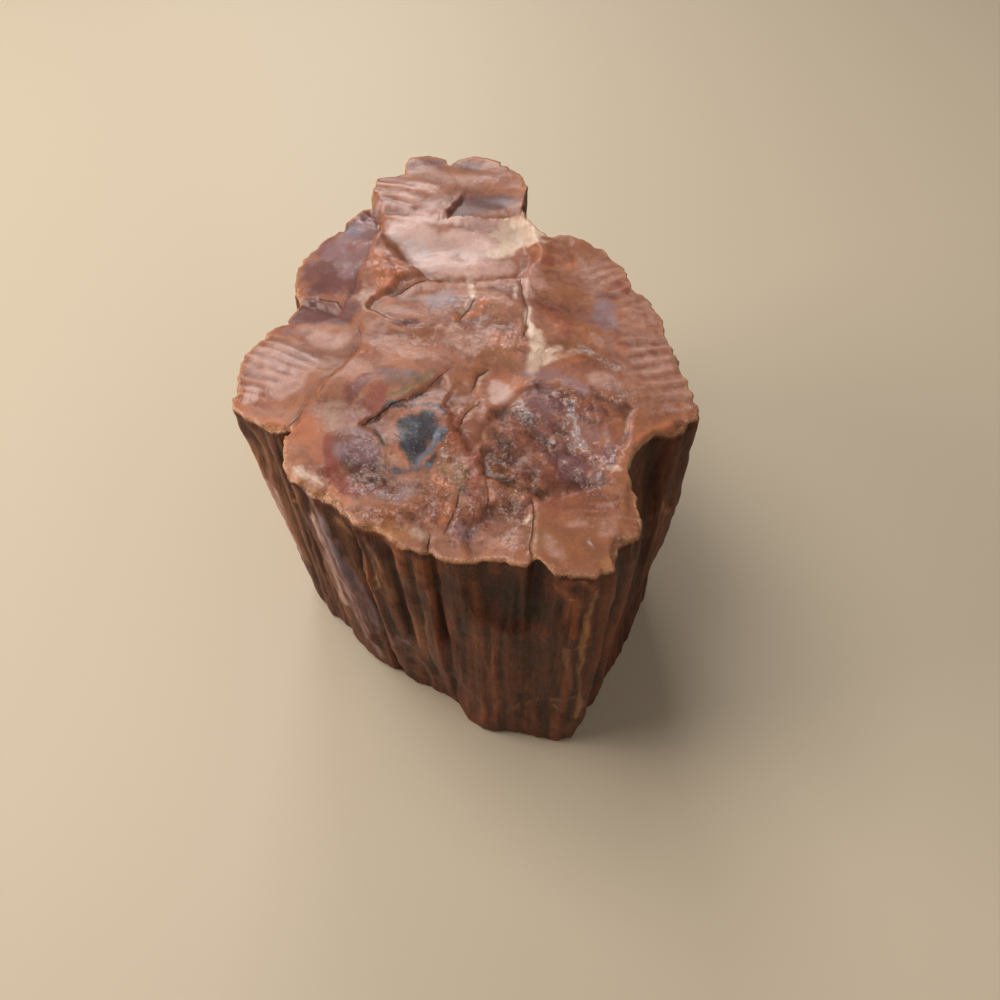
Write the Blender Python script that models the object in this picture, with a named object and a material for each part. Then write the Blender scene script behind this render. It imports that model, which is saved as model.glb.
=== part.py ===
"""A chunk of petrified wood that stands on its lower end, built as one solid.

The wood grain runs straight up. The sides are split along it, so the upper and the lower outline are
nearly alike, and both are given here as points seen from above. The top is a broken end with steps and
a few cracks. +X is to the right, +Y goes back to the narrow lobe, and +Z is up. Every size is in
millimetres until the mesh is made.
"""

import bmesh
import bpy
import numpy as np

MM = 0.001

# The middle of the box round the outlines below. It is taken off every point, which puts the origin
# under the middle.
MIDDLE_X = -4.4
MIDDLE_Y = 0.2

# The broken end: its height at the front edge, and how much it falls for each millimetre towards the back.
TOP_HEIGHT = 57.8
TOP_FALL = 0.024
FRONT_EDGE_Y = -48.0

# Slow waves in the broken end: direction in degrees, wavelength, height.
WAVES = [(25.0, 19.0, 0.28), (105.0, 12.5, 0.22), (65.0, 8.5, 0.14)]

# How finely the solid is faceted: cells along each quarter of the outline, and rows up the side.
CELLS_PER_QUARTER = 44
ROWS_UP = 12

# How many cells a notch of the rim is smoothed over inside the end, and the bend above which an edge is
# drawn sharp.
NOTCH_BLUR = 4
SHARP_ANGLE = 38.0

# The outline of the broken end, anticlockwise from the front corner.
RIM_FRONT_RIGHT = [(14.8, -48.0), (15.4, -45.8), (18.4, -43.2), (18.6, -39.0), (18.5, -34.0)]
RIM_HOLLOW = [(19.8, -31.6), (21.6, -28.6), (24.4, -25.6), (29.2, -22.0)]
RIM_RIGHT = [(28.6, -16.6), (28.1, -9.2), (26.5, -4.2), (26.1, 1.6), (23.4, 6.0), (21.0, 14.6)]
RIM_BACK_NOTCH = [(18.0, 19.0), (12.0, 21.9), (9.5, 21.0), (6.9, 25.4), (5.3, 31.0), (6.2, 38.0)]
RIM_LOBE = [(5.4, 41.4), (0.4, 48.6), (-4.6, 50.4), (-7.8, 49.4), (-8.8, 47.4), (-9.8, 49.4), (-13.6, 50.2)]
RIM_LOBE_LEFT = [(-16.9, 48.2), (-18.0, 43.6), (-22.3, 41.8), (-23.3, 35.4), (-27.2, 30.8), (-29.4, 27.4)]
RIM_LEFT = [(-33.8, 21.4), (-34.9, 15.4), (-33.4, 9.0), (-34.6, 2.0), (-37.6, -7.4), (-38.6, -12.0)]
RIM_STRIP_END = [(-38.2, -18.6), (-35.0, -20.8), (-31.4, -23.4), (-28.3, -23.6)]
RIM_FRONT_LEFT = [(-27.8, -27.8), (-26.8, -33.4), (-22.2, -36.8), (-16.8, -41.5), (-13.0, -43.2)]
RIM_FRONT = [(-7.6, -45.4), (-4.2, -46.7), (0.6, -47.1), (4.5, -48.6)]
RIM_COLUMN = [(5.3, -47.4), (7.0, -48.4), (10.2, -49.2), (13.0, -48.9)]
RIM = (
    RIM_FRONT_RIGHT + RIM_HOLLOW + RIM_RIGHT + RIM_BACK_NOTCH + RIM_LOBE + RIM_LOBE_LEFT
    + RIM_LEFT + RIM_STRIP_END + RIM_FRONT_LEFT + RIM_FRONT + RIM_COLUMN
)

# The outline of the lower end, from the same front corner. The back is hidden in the photograph.
FOOT_COLUMN = [(14.6, -49.2), (15.8, -45.5), (18.4, -42.4), (20.9, -38.2), (23.6, -34.2)]
FOOT_RIGHT = [(26.6, -28.8), (29.8, -21.6), (29.4, -12.0), (27.4, -3.0), (24.8, 6.0), (20.4, 15.6)]
FOOT_BACK_NOTCH = [(13.0, 21.0), (8.8, 22.4), (7.2, 30.0), (7.0, 37.0)]
FOOT_LOBE = [(2.0, 45.0), (-4.0, 48.2), (-13.0, 47.4), (-20.4, 42.0), (-25.0, 33.4), (-31.6, 24.0)]
FOOT_LEFT = [(-34.4, 15.0), (-34.0, 4.0), (-36.8, -8.0), (-37.2, -15.0), (-35.6, -20.4), (-32.2, -24.2)]
FOOT_FRONT_LEFT = [(-27.8, -27.6), (-26.4, -30.2), (-22.4, -33.8), (-17.4, -36.8), (-11.4, -40.4)]
FOOT_FRONT = [(-7.2, -43.0), (-4.8, -45.6), (-1.8, -47.6), (5.0, -48.4), (11.6, -49.7)]
FOOT = (
    FOOT_COLUMN + FOOT_RIGHT + FOOT_BACK_NOTCH + FOOT_LOBE
    + FOOT_LEFT + FOOT_FRONT_LEFT + FOOT_FRONT
)

# Ledges broken into the end: outline, drop below the end, rise per millimetre along x and y, and width
# of the step.
LEDGES = {
    "strip on the left": (
        [(-27.6, -26.0), (-25.8, -20.2), (-23.6, -15.2), (-20.2, -8.6), (-20.6, -3.0), (-25.0, 1.6),
         (-46.0, -2.0), (-46.0, -30.0)],
        1.6, (0.13, 0.02), 2.2,
    ),
    "hollow behind the strip": (
        [(-46.0, -1.6), (-31.0, -0.8), (-25.2, 1.2), (-22.6, 6.0), (-21.8, 16.0), (-20.4, 24.0),
         (-21.4, 33.0), (-28.0, 45.0), (-48.0, 40.0)],
        4.2, (0.16, 0.0), 3.4,
    ),
    "pale scoop": (
        [(-22.0, 33.0), (-20.4, 24.0), (-16.6, 17.6), (-12.6, 11.6), (-7.4, 9.4), (-1.0, 9.8), (3.8, 9.6),
         (7.2, 15.0), (6.4, 24.0), (3.6, 27.6), (-6.0, 26.6), (-14.0, 31.0)],
        2.8, (0.02, 0.03), 4.4,
    ),
    "back lobe": (
        [(-24.0, 31.0), (-14.0, 31.0), (-6.0, 26.6), (3.6, 27.6), (14.0, 30.0), (12.0, 56.0),
         (-24.0, 56.0)],
        1.2, (0.0, -0.04), 3.2,
    ),
    "chip in the lobe": (
        [(-9.6, 27.4), (-7.0, 33.0), (-5.6, 37.2), (3.0, 37.8), (2.8, 28.4), (-2.4, 27.2)],
        1.7, (0.0, 0.15), 2.2,
    ),
    "sunken floor": (
        [(9.9, -16.7), (4.1, -17.7), (1.2, -21.6), (-1.8, -27.2), (-1.0, -34.0), (6.0, -37.6),
         (15.0, -35.0), (18.0, -28.0), (20.0, -21.0)],
        1.0, (0.0, 0.03), 2.4,
    ),
    "right flank": (
        [(10.0, -3.0), (14.0, 8.0), (12.0, 30.0), (40.0, 30.0), (40.0, -24.0), (24.0, -24.0),
         (20.0, -12.0)],
        0.7, (-0.07, -0.03), 4.0,
    ),
}

# Cracks in the end: points, width, depth.
CRACKS = {
    "edge of the strip": (
        [(-28.6, -23.4), (-25.8, -20.2), (-23.6, -15.2), (-20.2, -8.8), (-20.5, -3.4)],
        1.1, 0.8,
    ),
    "crack by the dark eye": ([(-17.6, -24.0), (-14.4, -20.4), (-10.4, -18.2), (-7.4, -15.2)], 1.0, 0.8),
    "front crack": ([(5.2, -49.0), (5.1, -43.0), (5.5, -38.0)], 0.9, 0.8),
}

# Grooves and ridges that run up the side: the rim point beside them, half width, depth into the stone,
# and the heights between which they run.
GROOVES = [
    ((-19.3, -38.9), 1.5, 1.3, 0.0, 58.0),
    ((-23.6, -35.6), 1.6, -0.7, 10.0, 58.0),
    ((-13.0, -43.2), 1.2, 0.7, 25.0, 58.0),
    ((-7.4, -45.4), 1.0, 0.8, 30.0, 58.0),
    ((5.8, -48.2), 1.4, 0.8, 46.0, 60.0),
    ((14.9, -47.2), 0.9, -0.8, 5.0, 60.0),
    ((28.9, -14.0), 1.6, 0.8, 0.0, 60.0),
    ((27.3, -6.6), 1.7, 0.9, 0.0, 60.0),
    ((26.2, 0.4), 1.6, 0.8, 0.0, 60.0),
    ((22.6, 9.4), 2.0, 1.0, 0.0, 60.0),
    ((-9.0, 47.0), 1.6, 1.0, 0.0, 60.0),
    ((-20.4, 42.4), 2.0, 1.2, 0.0, 60.0),
    ((-29.4, 27.4), 2.2, 1.3, 0.0, 60.0),
    ((-34.0, 8.4), 2.4, 1.6, 0.0, 60.0),
    ((-36.6, -4.6), 1.5, 0.7, 0.0, 60.0),
]

# How far above and below its ends a groove fades, how deep it still is at the rim as a share of its depth,
# and how far below the rim it is whole.
GROOVE_FADE = 5.0
GROOVE_SHARE_AT_RIM = 0.25
GROOVE_WHOLE_BELOW = 2.5

# Chips broken out of the side: the rim point beside them, height, half width, half height, depth.
CHIPS = [
    ((3.6, -48.0), 51.0, 7.0, 9.0, 1.7),
    ((21.0, -30.0), 47.0, 7.5, 14.0, 2.2),
    ((29.2, -22.0), 36.0, 6.0, 22.0, -1.2),
    ((-10.0, -44.6), 8.0, 9.0, 10.0, 1.4),
    ((24.8, 4.0), 20.0, 10.0, 15.0, 1.8),
    ((-4.0, 49.6), 40.0, 9.0, 12.0, 1.6),
    ((-34.6, 16.0), 26.0, 11.0, 17.0, 2.0),
]

# The split wood: mean width of a lath along the outline, and how far one may stand proud of the next.
LATH_WIDTH = 6.5
LATH_STEP = 0.7
LATH_SEED = 11

# The laths fade out over this height below the rim and above the foot, where the outlines already hold
# their steps.
RIM_FADE = 7.0
FOOT_FADE = 10.0

# The worn edges: how far the rim and the foot are rounded in, and over what height.
RIM_WEAR = 0.35
RIM_WEAR_HEIGHT = 1.6
FOOT_WEAR = 0.7
FOOT_WEAR_HEIGHT = 1.6

STONE_COLOUR = (0.27, 0.095, 0.05, 1.0)
STONE_ROUGHNESS = 0.45


def smooth(t):
    """0 below 0, 1 above 1, and an S-curve between."""
    t = np.clip(t, 0.0, 1.0)
    return t * t * (3.0 - 2.0 * t)


def reach(outline, angle):
    """Distance from the origin to a star-shaped outline at each angle. Runs between its points are straight."""
    p = np.array(outline)
    p = p[np.argsort(np.arctan2(p[:, 1], p[:, 0]))]
    turn = np.arctan2(p[:, 1], p[:, 0])
    after = np.searchsorted(turn, (angle + np.pi) % (2 * np.pi) - np.pi) % len(p)
    a, b = p[after - 1], p[after]
    edge = b - a
    ray_cross_edge = np.cos(angle) * edge[:, 1] - np.sin(angle) * edge[:, 0]
    return (a[:, 0] * b[:, 1] - a[:, 1] * b[:, 0]) / ray_cross_edge


def even_angles(outline, count):
    """Angles at which the outline is cut into equal lengths, starting at its first point."""
    start = np.arctan2(outline[0][1], outline[0][0])
    fine = start + np.linspace(0.0, 2 * np.pi, 8001)
    radius = reach(outline, fine)
    x, y = radius * np.cos(fine), radius * np.sin(fine)
    along = np.concatenate([[0.0], np.cumsum(np.hypot(np.diff(x), np.diff(y)))])
    return np.interp(np.arange(count) * along[-1] / count, along, fine), along[-1]


def distance_inside(x, y, outline):
    """Distance to a closed outline, positive inside it and negative outside."""
    p = np.array(outline)
    nearest = np.full(x.shape, 1e9)
    inside = np.zeros(x.shape, bool)
    for a, b in zip(p, np.roll(p, -1, axis=0)):
        nearest = np.minimum(nearest, distance_to_run(x, y, a, b))
        crosses = (a[1] > y) != (b[1] > y)
        rise = np.where(crosses, b[1] - a[1], 1.0)
        inside ^= crosses & (x < a[0] + (y - a[1]) * (b[0] - a[0]) / rise)
    return np.where(inside, nearest, -nearest)


def distance_to_run(x, y, a, b):
    """Distance to the straight run from a to b."""
    run = b - a
    share = np.clip(((x - a[0]) * run[0] + (y - a[1]) * run[1]) / (run @ run), 0.0, 1.0)
    return np.hypot(x - a[0] - share * run[0], y - a[1] - share * run[1])


def top_height(x, y):
    """Height of the broken end: a plane that falls to the back, with its ledges and cracks cut in."""
    z = TOP_HEIGHT - TOP_FALL * (y - FRONT_EDGE_Y)
    for direction, wavelength, height in WAVES:
        across = x * np.cos(np.radians(direction)) + y * np.sin(np.radians(direction))
        z = z + height * np.sin(across * 2 * np.pi / wavelength)
    for outline, drop, (rise_x, rise_y), step in LEDGES.values():
        middle = np.mean(np.array(outline), axis=0)
        floor = -drop + rise_x * (x - middle[0]) + rise_y * (y - middle[1])
        z = z + np.minimum(floor, 0.0) * smooth(distance_inside(x, y, outline) / step + 0.5)
    for points, width, depth in CRACKS.values():
        p = np.array(points)
        away = np.min([distance_to_run(x, y, a, b) for a, b in zip(p[:-1], p[1:])], axis=0)
        z = z - depth * np.exp(-((away / width) ** 2))
    return z


def lath_relief(along, girth):
    """Steps between split laths: each has its own offset, and its face is tilted a little."""
    rng = np.random.default_rng(LATH_SEED)
    count = round(girth / LATH_WIDTH)
    edges = (np.arange(count) + rng.uniform(0.1, 0.9, count)) * girth / count
    lath = np.searchsorted(edges, along) % count
    offset = rng.uniform(-1.0, 1.0, count) * LATH_STEP
    tilt = rng.uniform(-0.5, 0.5, count) * LATH_STEP
    start = edges[lath - 1]
    width = (edges[lath] - start) % girth
    share = ((along - start) % girth) / width
    rounded = 1.0 - (2.0 * share - 1.0) ** 8
    return (offset[lath] + tilt[lath] * (2.0 * share - 1.0)) * rounded


def side_relief(rim, along, girth, z, rim_z):
    """How far the side stands out (+) or in (-) of the straight loft, at every height and rim point."""
    relief = lath_relief(along, girth) * smooth((rim_z - z) / RIM_FADE) * smooth(z / FOOT_FADE)
    below_rim = smooth((rim_z - z) / GROOVE_WHOLE_BELOW)
    share = GROOVE_SHARE_AT_RIM + (1.0 - GROOVE_SHARE_AT_RIM) * below_rim
    for (groove_x, groove_y), half_width, depth, low, high in GROOVES:
        away = np.hypot(rim[:, 0] - groove_x, rim[:, 1] - groove_y) / half_width
        ends = smooth((z - low) / GROOVE_FADE + 0.5) * smooth((high - z) / GROOVE_FADE + 0.5)
        relief = relief - depth * np.exp(-(away**2)) * ends * share
    for (chip_x, chip_y), height, half_width, half_height, depth in CHIPS:
        away = np.hypot(rim[:, 0] - chip_x, rim[:, 1] - chip_y) / half_width
        bowl = 1.0 - away**2 - ((z - height) / half_height) ** 2
        relief = relief - depth * np.clip(bowl, 0.0, None)
    relief = relief - RIM_WEAR * smooth(1.0 - (rim_z - z) / RIM_WEAR_HEIGHT)
    return relief - FOOT_WEAR * smooth(1.0 - z / FOOT_WEAR_HEIGHT)


def outward(points):
    """Unit normals of a closed ring of points that runs anticlockwise."""
    run = np.roll(points, -2, axis=0) - np.roll(points, 2, axis=0)
    normal = np.stack([run[:, 1], -run[:, 0]], axis=1)
    return normal / np.linalg.norm(normal, axis=1, keepdims=True)


def averaged(ring, reach_cells):
    """Each point of a closed ring replaced by the average of its neighbours on both sides."""
    steps = range(-reach_cells, reach_cells + 1)
    return np.mean([np.roll(ring, step, axis=0) for step in steps], axis=0)


def side_rings():
    """Rings of points from the foot up to the rim, as an array of row, point, x y z."""
    count = 4 * CELLS_PER_QUARTER
    angle, girth = even_angles(RIM, count)
    along = np.arange(count) * girth / count
    ray = np.stack([np.cos(angle), np.sin(angle)], axis=1)
    rim = ray * reach(RIM, angle)[:, None]
    foot = ray * reach(FOOT, angle)[:, None]
    row = np.linspace(0.0, 1.0, ROWS_UP + 1)
    rise = (0.5 * smooth(row) + 0.5 * row)[:, None]
    rim_z = top_height(rim[:, 0], rim[:, 1]) - RIM_WEAR
    z = rise * rim_z
    relief = side_relief(rim, along, girth, z, rim_z)[:, :, None]
    rise = rise[:, :, None]
    flat = foot * (1.0 - rise) + rim * rise + outward(rim) * relief
    return np.concatenate([flat, z[:, :, None]], axis=2)


def end_grid(ring):
    """The broken end as a square grid pulled out to the rim: its outer cells share the rim's points.

    Every square round the middle of the grid is a copy of the rim, drawn smaller. The copies are smoothed
    a little, so the small notches of the rim don't run into the middle.
    """
    n = CELLS_PER_QUARTER
    i, j = np.meshgrid(np.arange(n + 1), np.arange(n + 1), indexing="ij")
    u, v = 2.0 * i / n - 1.0, 2.0 * j / n - 1.0
    size = np.maximum(np.abs(u), np.abs(v))
    a, b = u / np.where(size > 0, size, 1.0), v / np.where(size > 0, size, 1.0)
    sides = [(a + 1) / 2, 1 + (b + 1) / 2, 2 + (1 - a) / 2]
    place = n * np.select([b <= -1.0, a >= 1.0, b >= 1.0], sides, 3 + (1 - b) / 2)
    before = np.floor(place + 1e-9).astype(int) % (4 * n)
    after = (before + 1) % (4 * n)
    part = (place % 1.0)[:, :, None]
    rim = ring[before, :2] * (1.0 - part) + ring[after, :2] * part
    soft = averaged(ring, NOTCH_BLUR)
    soft = soft[before, :2] * (1.0 - part) + soft[after, :2] * part
    size = size[:, :, None]
    flat = size * (soft + (rim - soft) * size**8)
    z = top_height(flat[:, :, 0], flat[:, :, 1])
    return np.concatenate([flat, z[:, :, None]], axis=2), before, size[:, :, 0] == 1.0


def build_stone():
    rings = side_rings()
    end, rim_point, on_rim = end_grid(rings[-1])
    middle = np.array([MIDDLE_X, MIDDLE_Y, 0.0])
    bm = bmesh.new()
    rows = [[bm.verts.new((point - middle) * MM) for point in ring] for ring in rings]
    count = len(rows[0])
    bm.faces.new(list(reversed(rows[0])))
    for lower, upper in zip(rows[:-1], rows[1:]):
        for k in range(count):
            following = (k + 1) % count
            bm.faces.new((lower[k], lower[following], upper[following], upper[k]))
    n = CELLS_PER_QUARTER
    grid = []
    for i in range(n + 1):
        grid.append([])
        for j in range(n + 1):
            shared = rows[-1][rim_point[i, j]] if on_rim[i, j] else None
            grid[i].append(shared or bm.verts.new((end[i, j] - middle) * MM))
    for i in range(n):
        for j in range(n):
            bm.faces.new((grid[i][j], grid[i + 1][j], grid[i + 1][j + 1], grid[i][j + 1]))
    corners = np.array([v.co for v in bm.verts]) / MM
    print("box in mm", corners.min(axis=0).round(2), corners.max(axis=0).round(2))
    mesh = bpy.data.meshes.new("petrified_wood")
    bm.to_mesh(mesh)
    bm.free()
    mesh.shade_smooth()
    mesh.set_sharp_from_angle(angle=np.radians(SHARP_ANGLE))
    return mesh


def stone_material():
    material = bpy.data.materials.new("agatized_wood")
    material.use_nodes = True
    shader = material.node_tree.nodes["Principled BSDF"]
    shader.inputs["Base Color"].default_value = STONE_COLOUR
    shader.inputs["Roughness"].default_value = STONE_ROUGHNESS
    shader.inputs["Metallic"].default_value = 0.0
    return material


def main():
    for obj in list(bpy.data.objects):
        bpy.data.objects.remove(obj)
    stone = bpy.data.objects.new("petrified_wood", build_stone())
    stone.data.materials.append(stone_material())
    bpy.context.scene.collection.objects.link(stone)


main()
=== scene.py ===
# %% [markdown]
# # A chunk of petrified wood
#
# Wood that turned to agate splits along its grain, so this chunk has an upright, ribbed side, and it snaps across the
# grain, so its end is a field of low steps, glassy in some places and granular in others. The solid from the frame has
# the outline and the main ledges. This lesson lays a finer skin over it, with the same outlines, and colours it.

import bpy
import numpy as np
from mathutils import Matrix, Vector


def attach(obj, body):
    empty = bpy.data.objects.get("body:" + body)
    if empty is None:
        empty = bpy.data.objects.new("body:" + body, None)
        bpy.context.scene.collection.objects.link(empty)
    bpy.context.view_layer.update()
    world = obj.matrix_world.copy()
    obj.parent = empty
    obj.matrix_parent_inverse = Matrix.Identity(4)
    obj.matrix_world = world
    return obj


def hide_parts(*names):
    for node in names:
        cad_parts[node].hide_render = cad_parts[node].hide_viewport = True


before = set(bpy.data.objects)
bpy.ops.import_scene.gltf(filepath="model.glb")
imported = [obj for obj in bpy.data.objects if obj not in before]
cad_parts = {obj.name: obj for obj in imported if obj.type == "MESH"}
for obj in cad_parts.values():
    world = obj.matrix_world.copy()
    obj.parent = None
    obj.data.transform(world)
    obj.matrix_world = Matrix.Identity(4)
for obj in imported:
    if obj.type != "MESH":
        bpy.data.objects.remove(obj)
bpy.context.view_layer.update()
MM = 0.001

# %% [markdown]
# ## The two outlines
#
# A split stone is nearly a prism, so two closed outlines seen from above carry most of its likeness: the broken rim
# above and the foot below. They could be drawn as curves and skinned, but points in a list are easier to correct one at
# a time. The origin is inside both, and every ray from it meets each outline once. That makes the radius a function of
# the angle, which is all that the skin needs. The numbers are millimetres.

# %% Outlines
MIDDLE = np.array([-4.4, 0.2, 0.0])
RIM = [
    (15.0, -48.2), (15.3, -46.0), (15.9, -44.5), (17.3, -43.8), (18.7, -43.1), (18.9, -40.8), (18.6, -39.2),
    (18.9, -37.4), (18.7, -35.0), (18.8, -33.3), (19.7, -32.2), (20.5, -31.0), (21.3, -29.4), (22.0, -28.2),
    (23.2, -26.7), (24.9, -25.3), (26.6, -24.3), (29.4, -21.9), (29.0, -17.7), (28.4, -13.6), (28.3, -8.9),
    (27.0, -5.4), (26.7, -1.9), (26.4, 1.7), (25.0, 4.8), (23.5, 6.3), (22.8, 9.4), (21.2, 14.8), (18.8, 18.5),
    (15.4, 21.1), (12.0, 21.9), (9.6, 21.2), (7.0, 25.5), (5.8, 28.0), (5.4, 31.0), (5.9, 34.5), (6.4, 38.0),
    (5.7, 41.2), (3.0, 45.2), (0.4, 48.7), (-3.6, 50.5), (-7.6, 49.7), (-8.8, 47.3), (-9.8, 49.4), (-13.2, 50.4),
    (-16.7, 48.4), (-18.0, 44.0), (-22.6, 42.0), (-23.6, 35.6), (-25.2, 33.2), (-27.2, 31.2), (-29.3, 27.9),
    (-31.5, 25.2), (-34.1, 21.3), (-35.0, 16.8), (-34.8, 13.3), (-33.6, 9.1), (-34.6, 3.3), (-35.6, -1.6),
    (-36.7, -5.1), (-38.2, -8.1), (-38.8, -11.5), (-38.6, -16.0), (-38.3, -18.6), (-35.2, -21.0), (-31.6, -23.6),
    (-28.4, -23.9), (-28.1, -28.1), (-27.6, -32.3), (-26.6, -34.0), (-23.2, -36.6), (-21.9, -37.2), (-19.5, -39.2),
    (-17.2, -41.7), (-14.0, -42.9), (-11.4, -44.6), (-9.8, -45.5), (-7.4, -45.6), (-5.4, -46.8), (-3.6, -46.9),
    (-2.0, -46.8), (0.3, -47.3), (2.5, -48.4), (4.3, -48.9), (5.4, -47.7), (6.9, -48.6), (8.1, -49.2), (10.1, -49.4),
    (12.4, -49.2),
]
FOOT = [
    (14.6, -49.2), (15.8, -45.5), (18.4, -42.4), (20.9, -38.2), (23.6, -34.2), (26.6, -28.8), (29.8, -21.6),
    (29.4, -12.0), (27.4, -3.0), (24.8, 6.0), (20.4, 15.6), (13.0, 21.0), (8.8, 22.4), (7.2, 30.0), (7.0, 37.0),
    (2.0, 45.0), (-4.0, 48.2), (-13.0, 47.4), (-20.4, 42.0), (-25.0, 33.4), (-31.6, 24.0), (-34.4, 15.0),
    (-34.0, 4.0), (-36.8, -8.0), (-37.2, -15.0), (-35.6, -20.4), (-32.2, -24.2), (-27.8, -27.6), (-26.4, -30.2),
    (-22.4, -33.8), (-17.4, -36.8), (-11.4, -40.4), (-7.2, -43.0), (-4.8, -45.6), (-1.8, -47.6), (5.0, -48.4),
    (11.6, -49.7),
]


def radius_at(outline, angle):
    """Where a ray at each angle crosses the outline: cross(a, b) / cross(ray, b - a) for the run from a to b."""
    p = np.array(outline)
    p = p[np.argsort(np.arctan2(p[:, 1], p[:, 0]))]
    turn = np.arctan2(p[:, 1], p[:, 0])
    after = np.searchsorted(turn, (angle + np.pi) % (2 * np.pi) - np.pi) % len(p)
    a, b = p[after - 1], p[after]
    run = b - a
    return (a[:, 0] * b[:, 1] - a[:, 1] * b[:, 0]) / (np.cos(angle) * run[:, 1] - np.sin(angle) * run[:, 0])


def even_angles(outline, count):
    """Angles that cut the outline into equal lengths, found by measuring it in small steps, and its whole length."""
    start = np.arctan2(outline[0][1], outline[0][0])
    fine = start + np.linspace(0.0, 2 * np.pi, 8001)
    radius = radius_at(outline, fine)
    along = np.concatenate([[0.0], np.cumsum(np.hypot(*np.diff([radius * np.cos(fine), radius * np.sin(fine)])))])
    return np.interp(np.arange(count) * along[-1] / count, along, fine), along[-1]


print("rim points", len(RIM), "foot points", len(FOOT))

# %% [markdown]
# ## Roughness as numbers
#
# Broken stone is irregular at every size. Blender's Displace modifier could add that, but here the roughness also has
# to follow the grain and stop at ledges, so it is worked out as numbers: random values on a square lattice, blended
# smoothly between the corners, and added up at smaller and smaller sizes. Every noise has a seed, a whole number that
# fixes its random values, so the stone comes out the same each time.

# %% Noise
LATTICE = 256


def smooth(t):
    """0 below 0, 1 above 1 and 3t^2 - 2t^3 between."""
    t = np.clip(t, 0.0, 1.0)
    return t * t * (3.0 - 2.0 * t)


def lattice(u, v, seed, wrap=LATTICE):
    """Random values from -1 to 1 on whole numbers of u and v, blended with an S-curve. u repeats after wrap."""
    table = np.random.default_rng(seed).uniform(-1.0, 1.0, (LATTICE, LATTICE))
    low_u, low_v = np.floor(u).astype(int), np.floor(v).astype(int)
    part_u, part_v = smooth(u - low_u), smooth(v - low_v)
    i, j = low_u % wrap % LATTICE, (low_u + 1) % wrap % LATTICE
    k, m = low_v % LATTICE, (low_v + 1) % LATTICE
    near = table[i, k] * (1 - part_u) + table[j, k] * part_u
    far = table[i, m] * (1 - part_u) + table[j, m] * part_u
    return near * (1 - part_v) + far * part_v


def rough(x, y, size, seed, layers=3):
    """Layers of lattice noise, each turned a little, half as large and half as strong as the last."""
    total, strength = np.zeros_like(x), 1.0
    for layer in range(layers):
        turn = 0.6 + 1.1 * layer
        u = (x * np.cos(turn) + y * np.sin(turn)) / size
        v = (y * np.cos(turn) - x * np.sin(turn)) / size
        total += strength * lattice(u + 40.0, v + 40.0, seed + layer)
        size, strength = size / 2, strength / 2
    return total / 1.6


def distance_to_run(p, a, b):
    """Distance from every point to the straight run from a to b, in two or three dimensions."""
    run = b - a
    length = run @ run
    share = np.clip((p - a) @ run / length, 0.0, 1.0) if length > 0 else np.zeros(len(p))
    return np.linalg.norm(p - a - share[:, None] * run, axis=1)


def which_side(p, path):
    """1 on the left of a path and -1 on its right, judged by the run of the path that is nearest."""
    path = np.array(path, float)
    away = np.array([distance_to_run(p, a, b) for a, b in zip(path[:-1], path[1:])])
    run = np.diff(path, axis=0)[:, None, :]
    to_point = p[None, :, :] - path[:-1, None, :]
    cross = run[:, :, 0] * to_point[:, :, 1] - run[:, :, 1] * to_point[:, :, 0]
    nearest = np.argmin(away, axis=0)
    return np.where(cross[nearest, np.arange(len(p))] >= 0.0, 1.0, -1.0)


def distance_to_path(p, path):
    """The least distance to any run of a path."""
    path = np.array(path, float)
    if len(path) == 1:
        return np.linalg.norm(p - path[0], axis=1)
    return np.min([distance_to_run(p, a, b) for a, b in zip(path[:-1], path[1:])], axis=0)


def depth_inside(p, outline):
    """Distance to a closed outline, positive inside. A point is inside if a line to one side crosses it an odd number
    of times."""
    corners = np.array(outline, float)
    inside = np.zeros(len(p), bool)
    for a, b in zip(corners, np.roll(corners, -1, axis=0)):
        crosses = (a[1] > p[:, 1]) != (b[1] > p[:, 1])
        rise = b[1] - a[1] if b[1] != a[1] else 1.0
        inside ^= crosses & (p[:, 0] < a[0] + (p[:, 1] - a[1]) * (b[0] - a[0]) / rise)
    nearest = distance_to_path(p, np.vstack([corners, corners[:1]]))
    return np.where(inside, nearest, -nearest)


print("noise repeats after", LATTICE, "cells")

# %% [markdown]
# ## The broken end
#
# The end is a height for every place seen from above. A tilted plane comes first. Ledges are closed outlines, and
# inside each one the height drops by a tilted floor, across a step that is narrow where the real edge is crisp. Cracks
# are paths, and the height dips beside them. Ribs are waves that fade out away from the edge they start from. Before a
# ledge or a crack is measured, noise pushes the place about, which makes every straight edge ragged. Low lumps and
# large, flat broken faces come over all of it, and small tilted chunks and grit where the stone is granular.

# %% Height of the broken end
TOP_HEIGHT = 57.8
TOP_FALL = 0.024
FRONT_EDGE_Y = -48.0

# Waves: direction in degrees, wavelength, height.
WAVES = [(25.0, 19.0, 0.28), (105.0, 12.5, 0.22), (65.0, 8.5, 0.14)]

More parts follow.
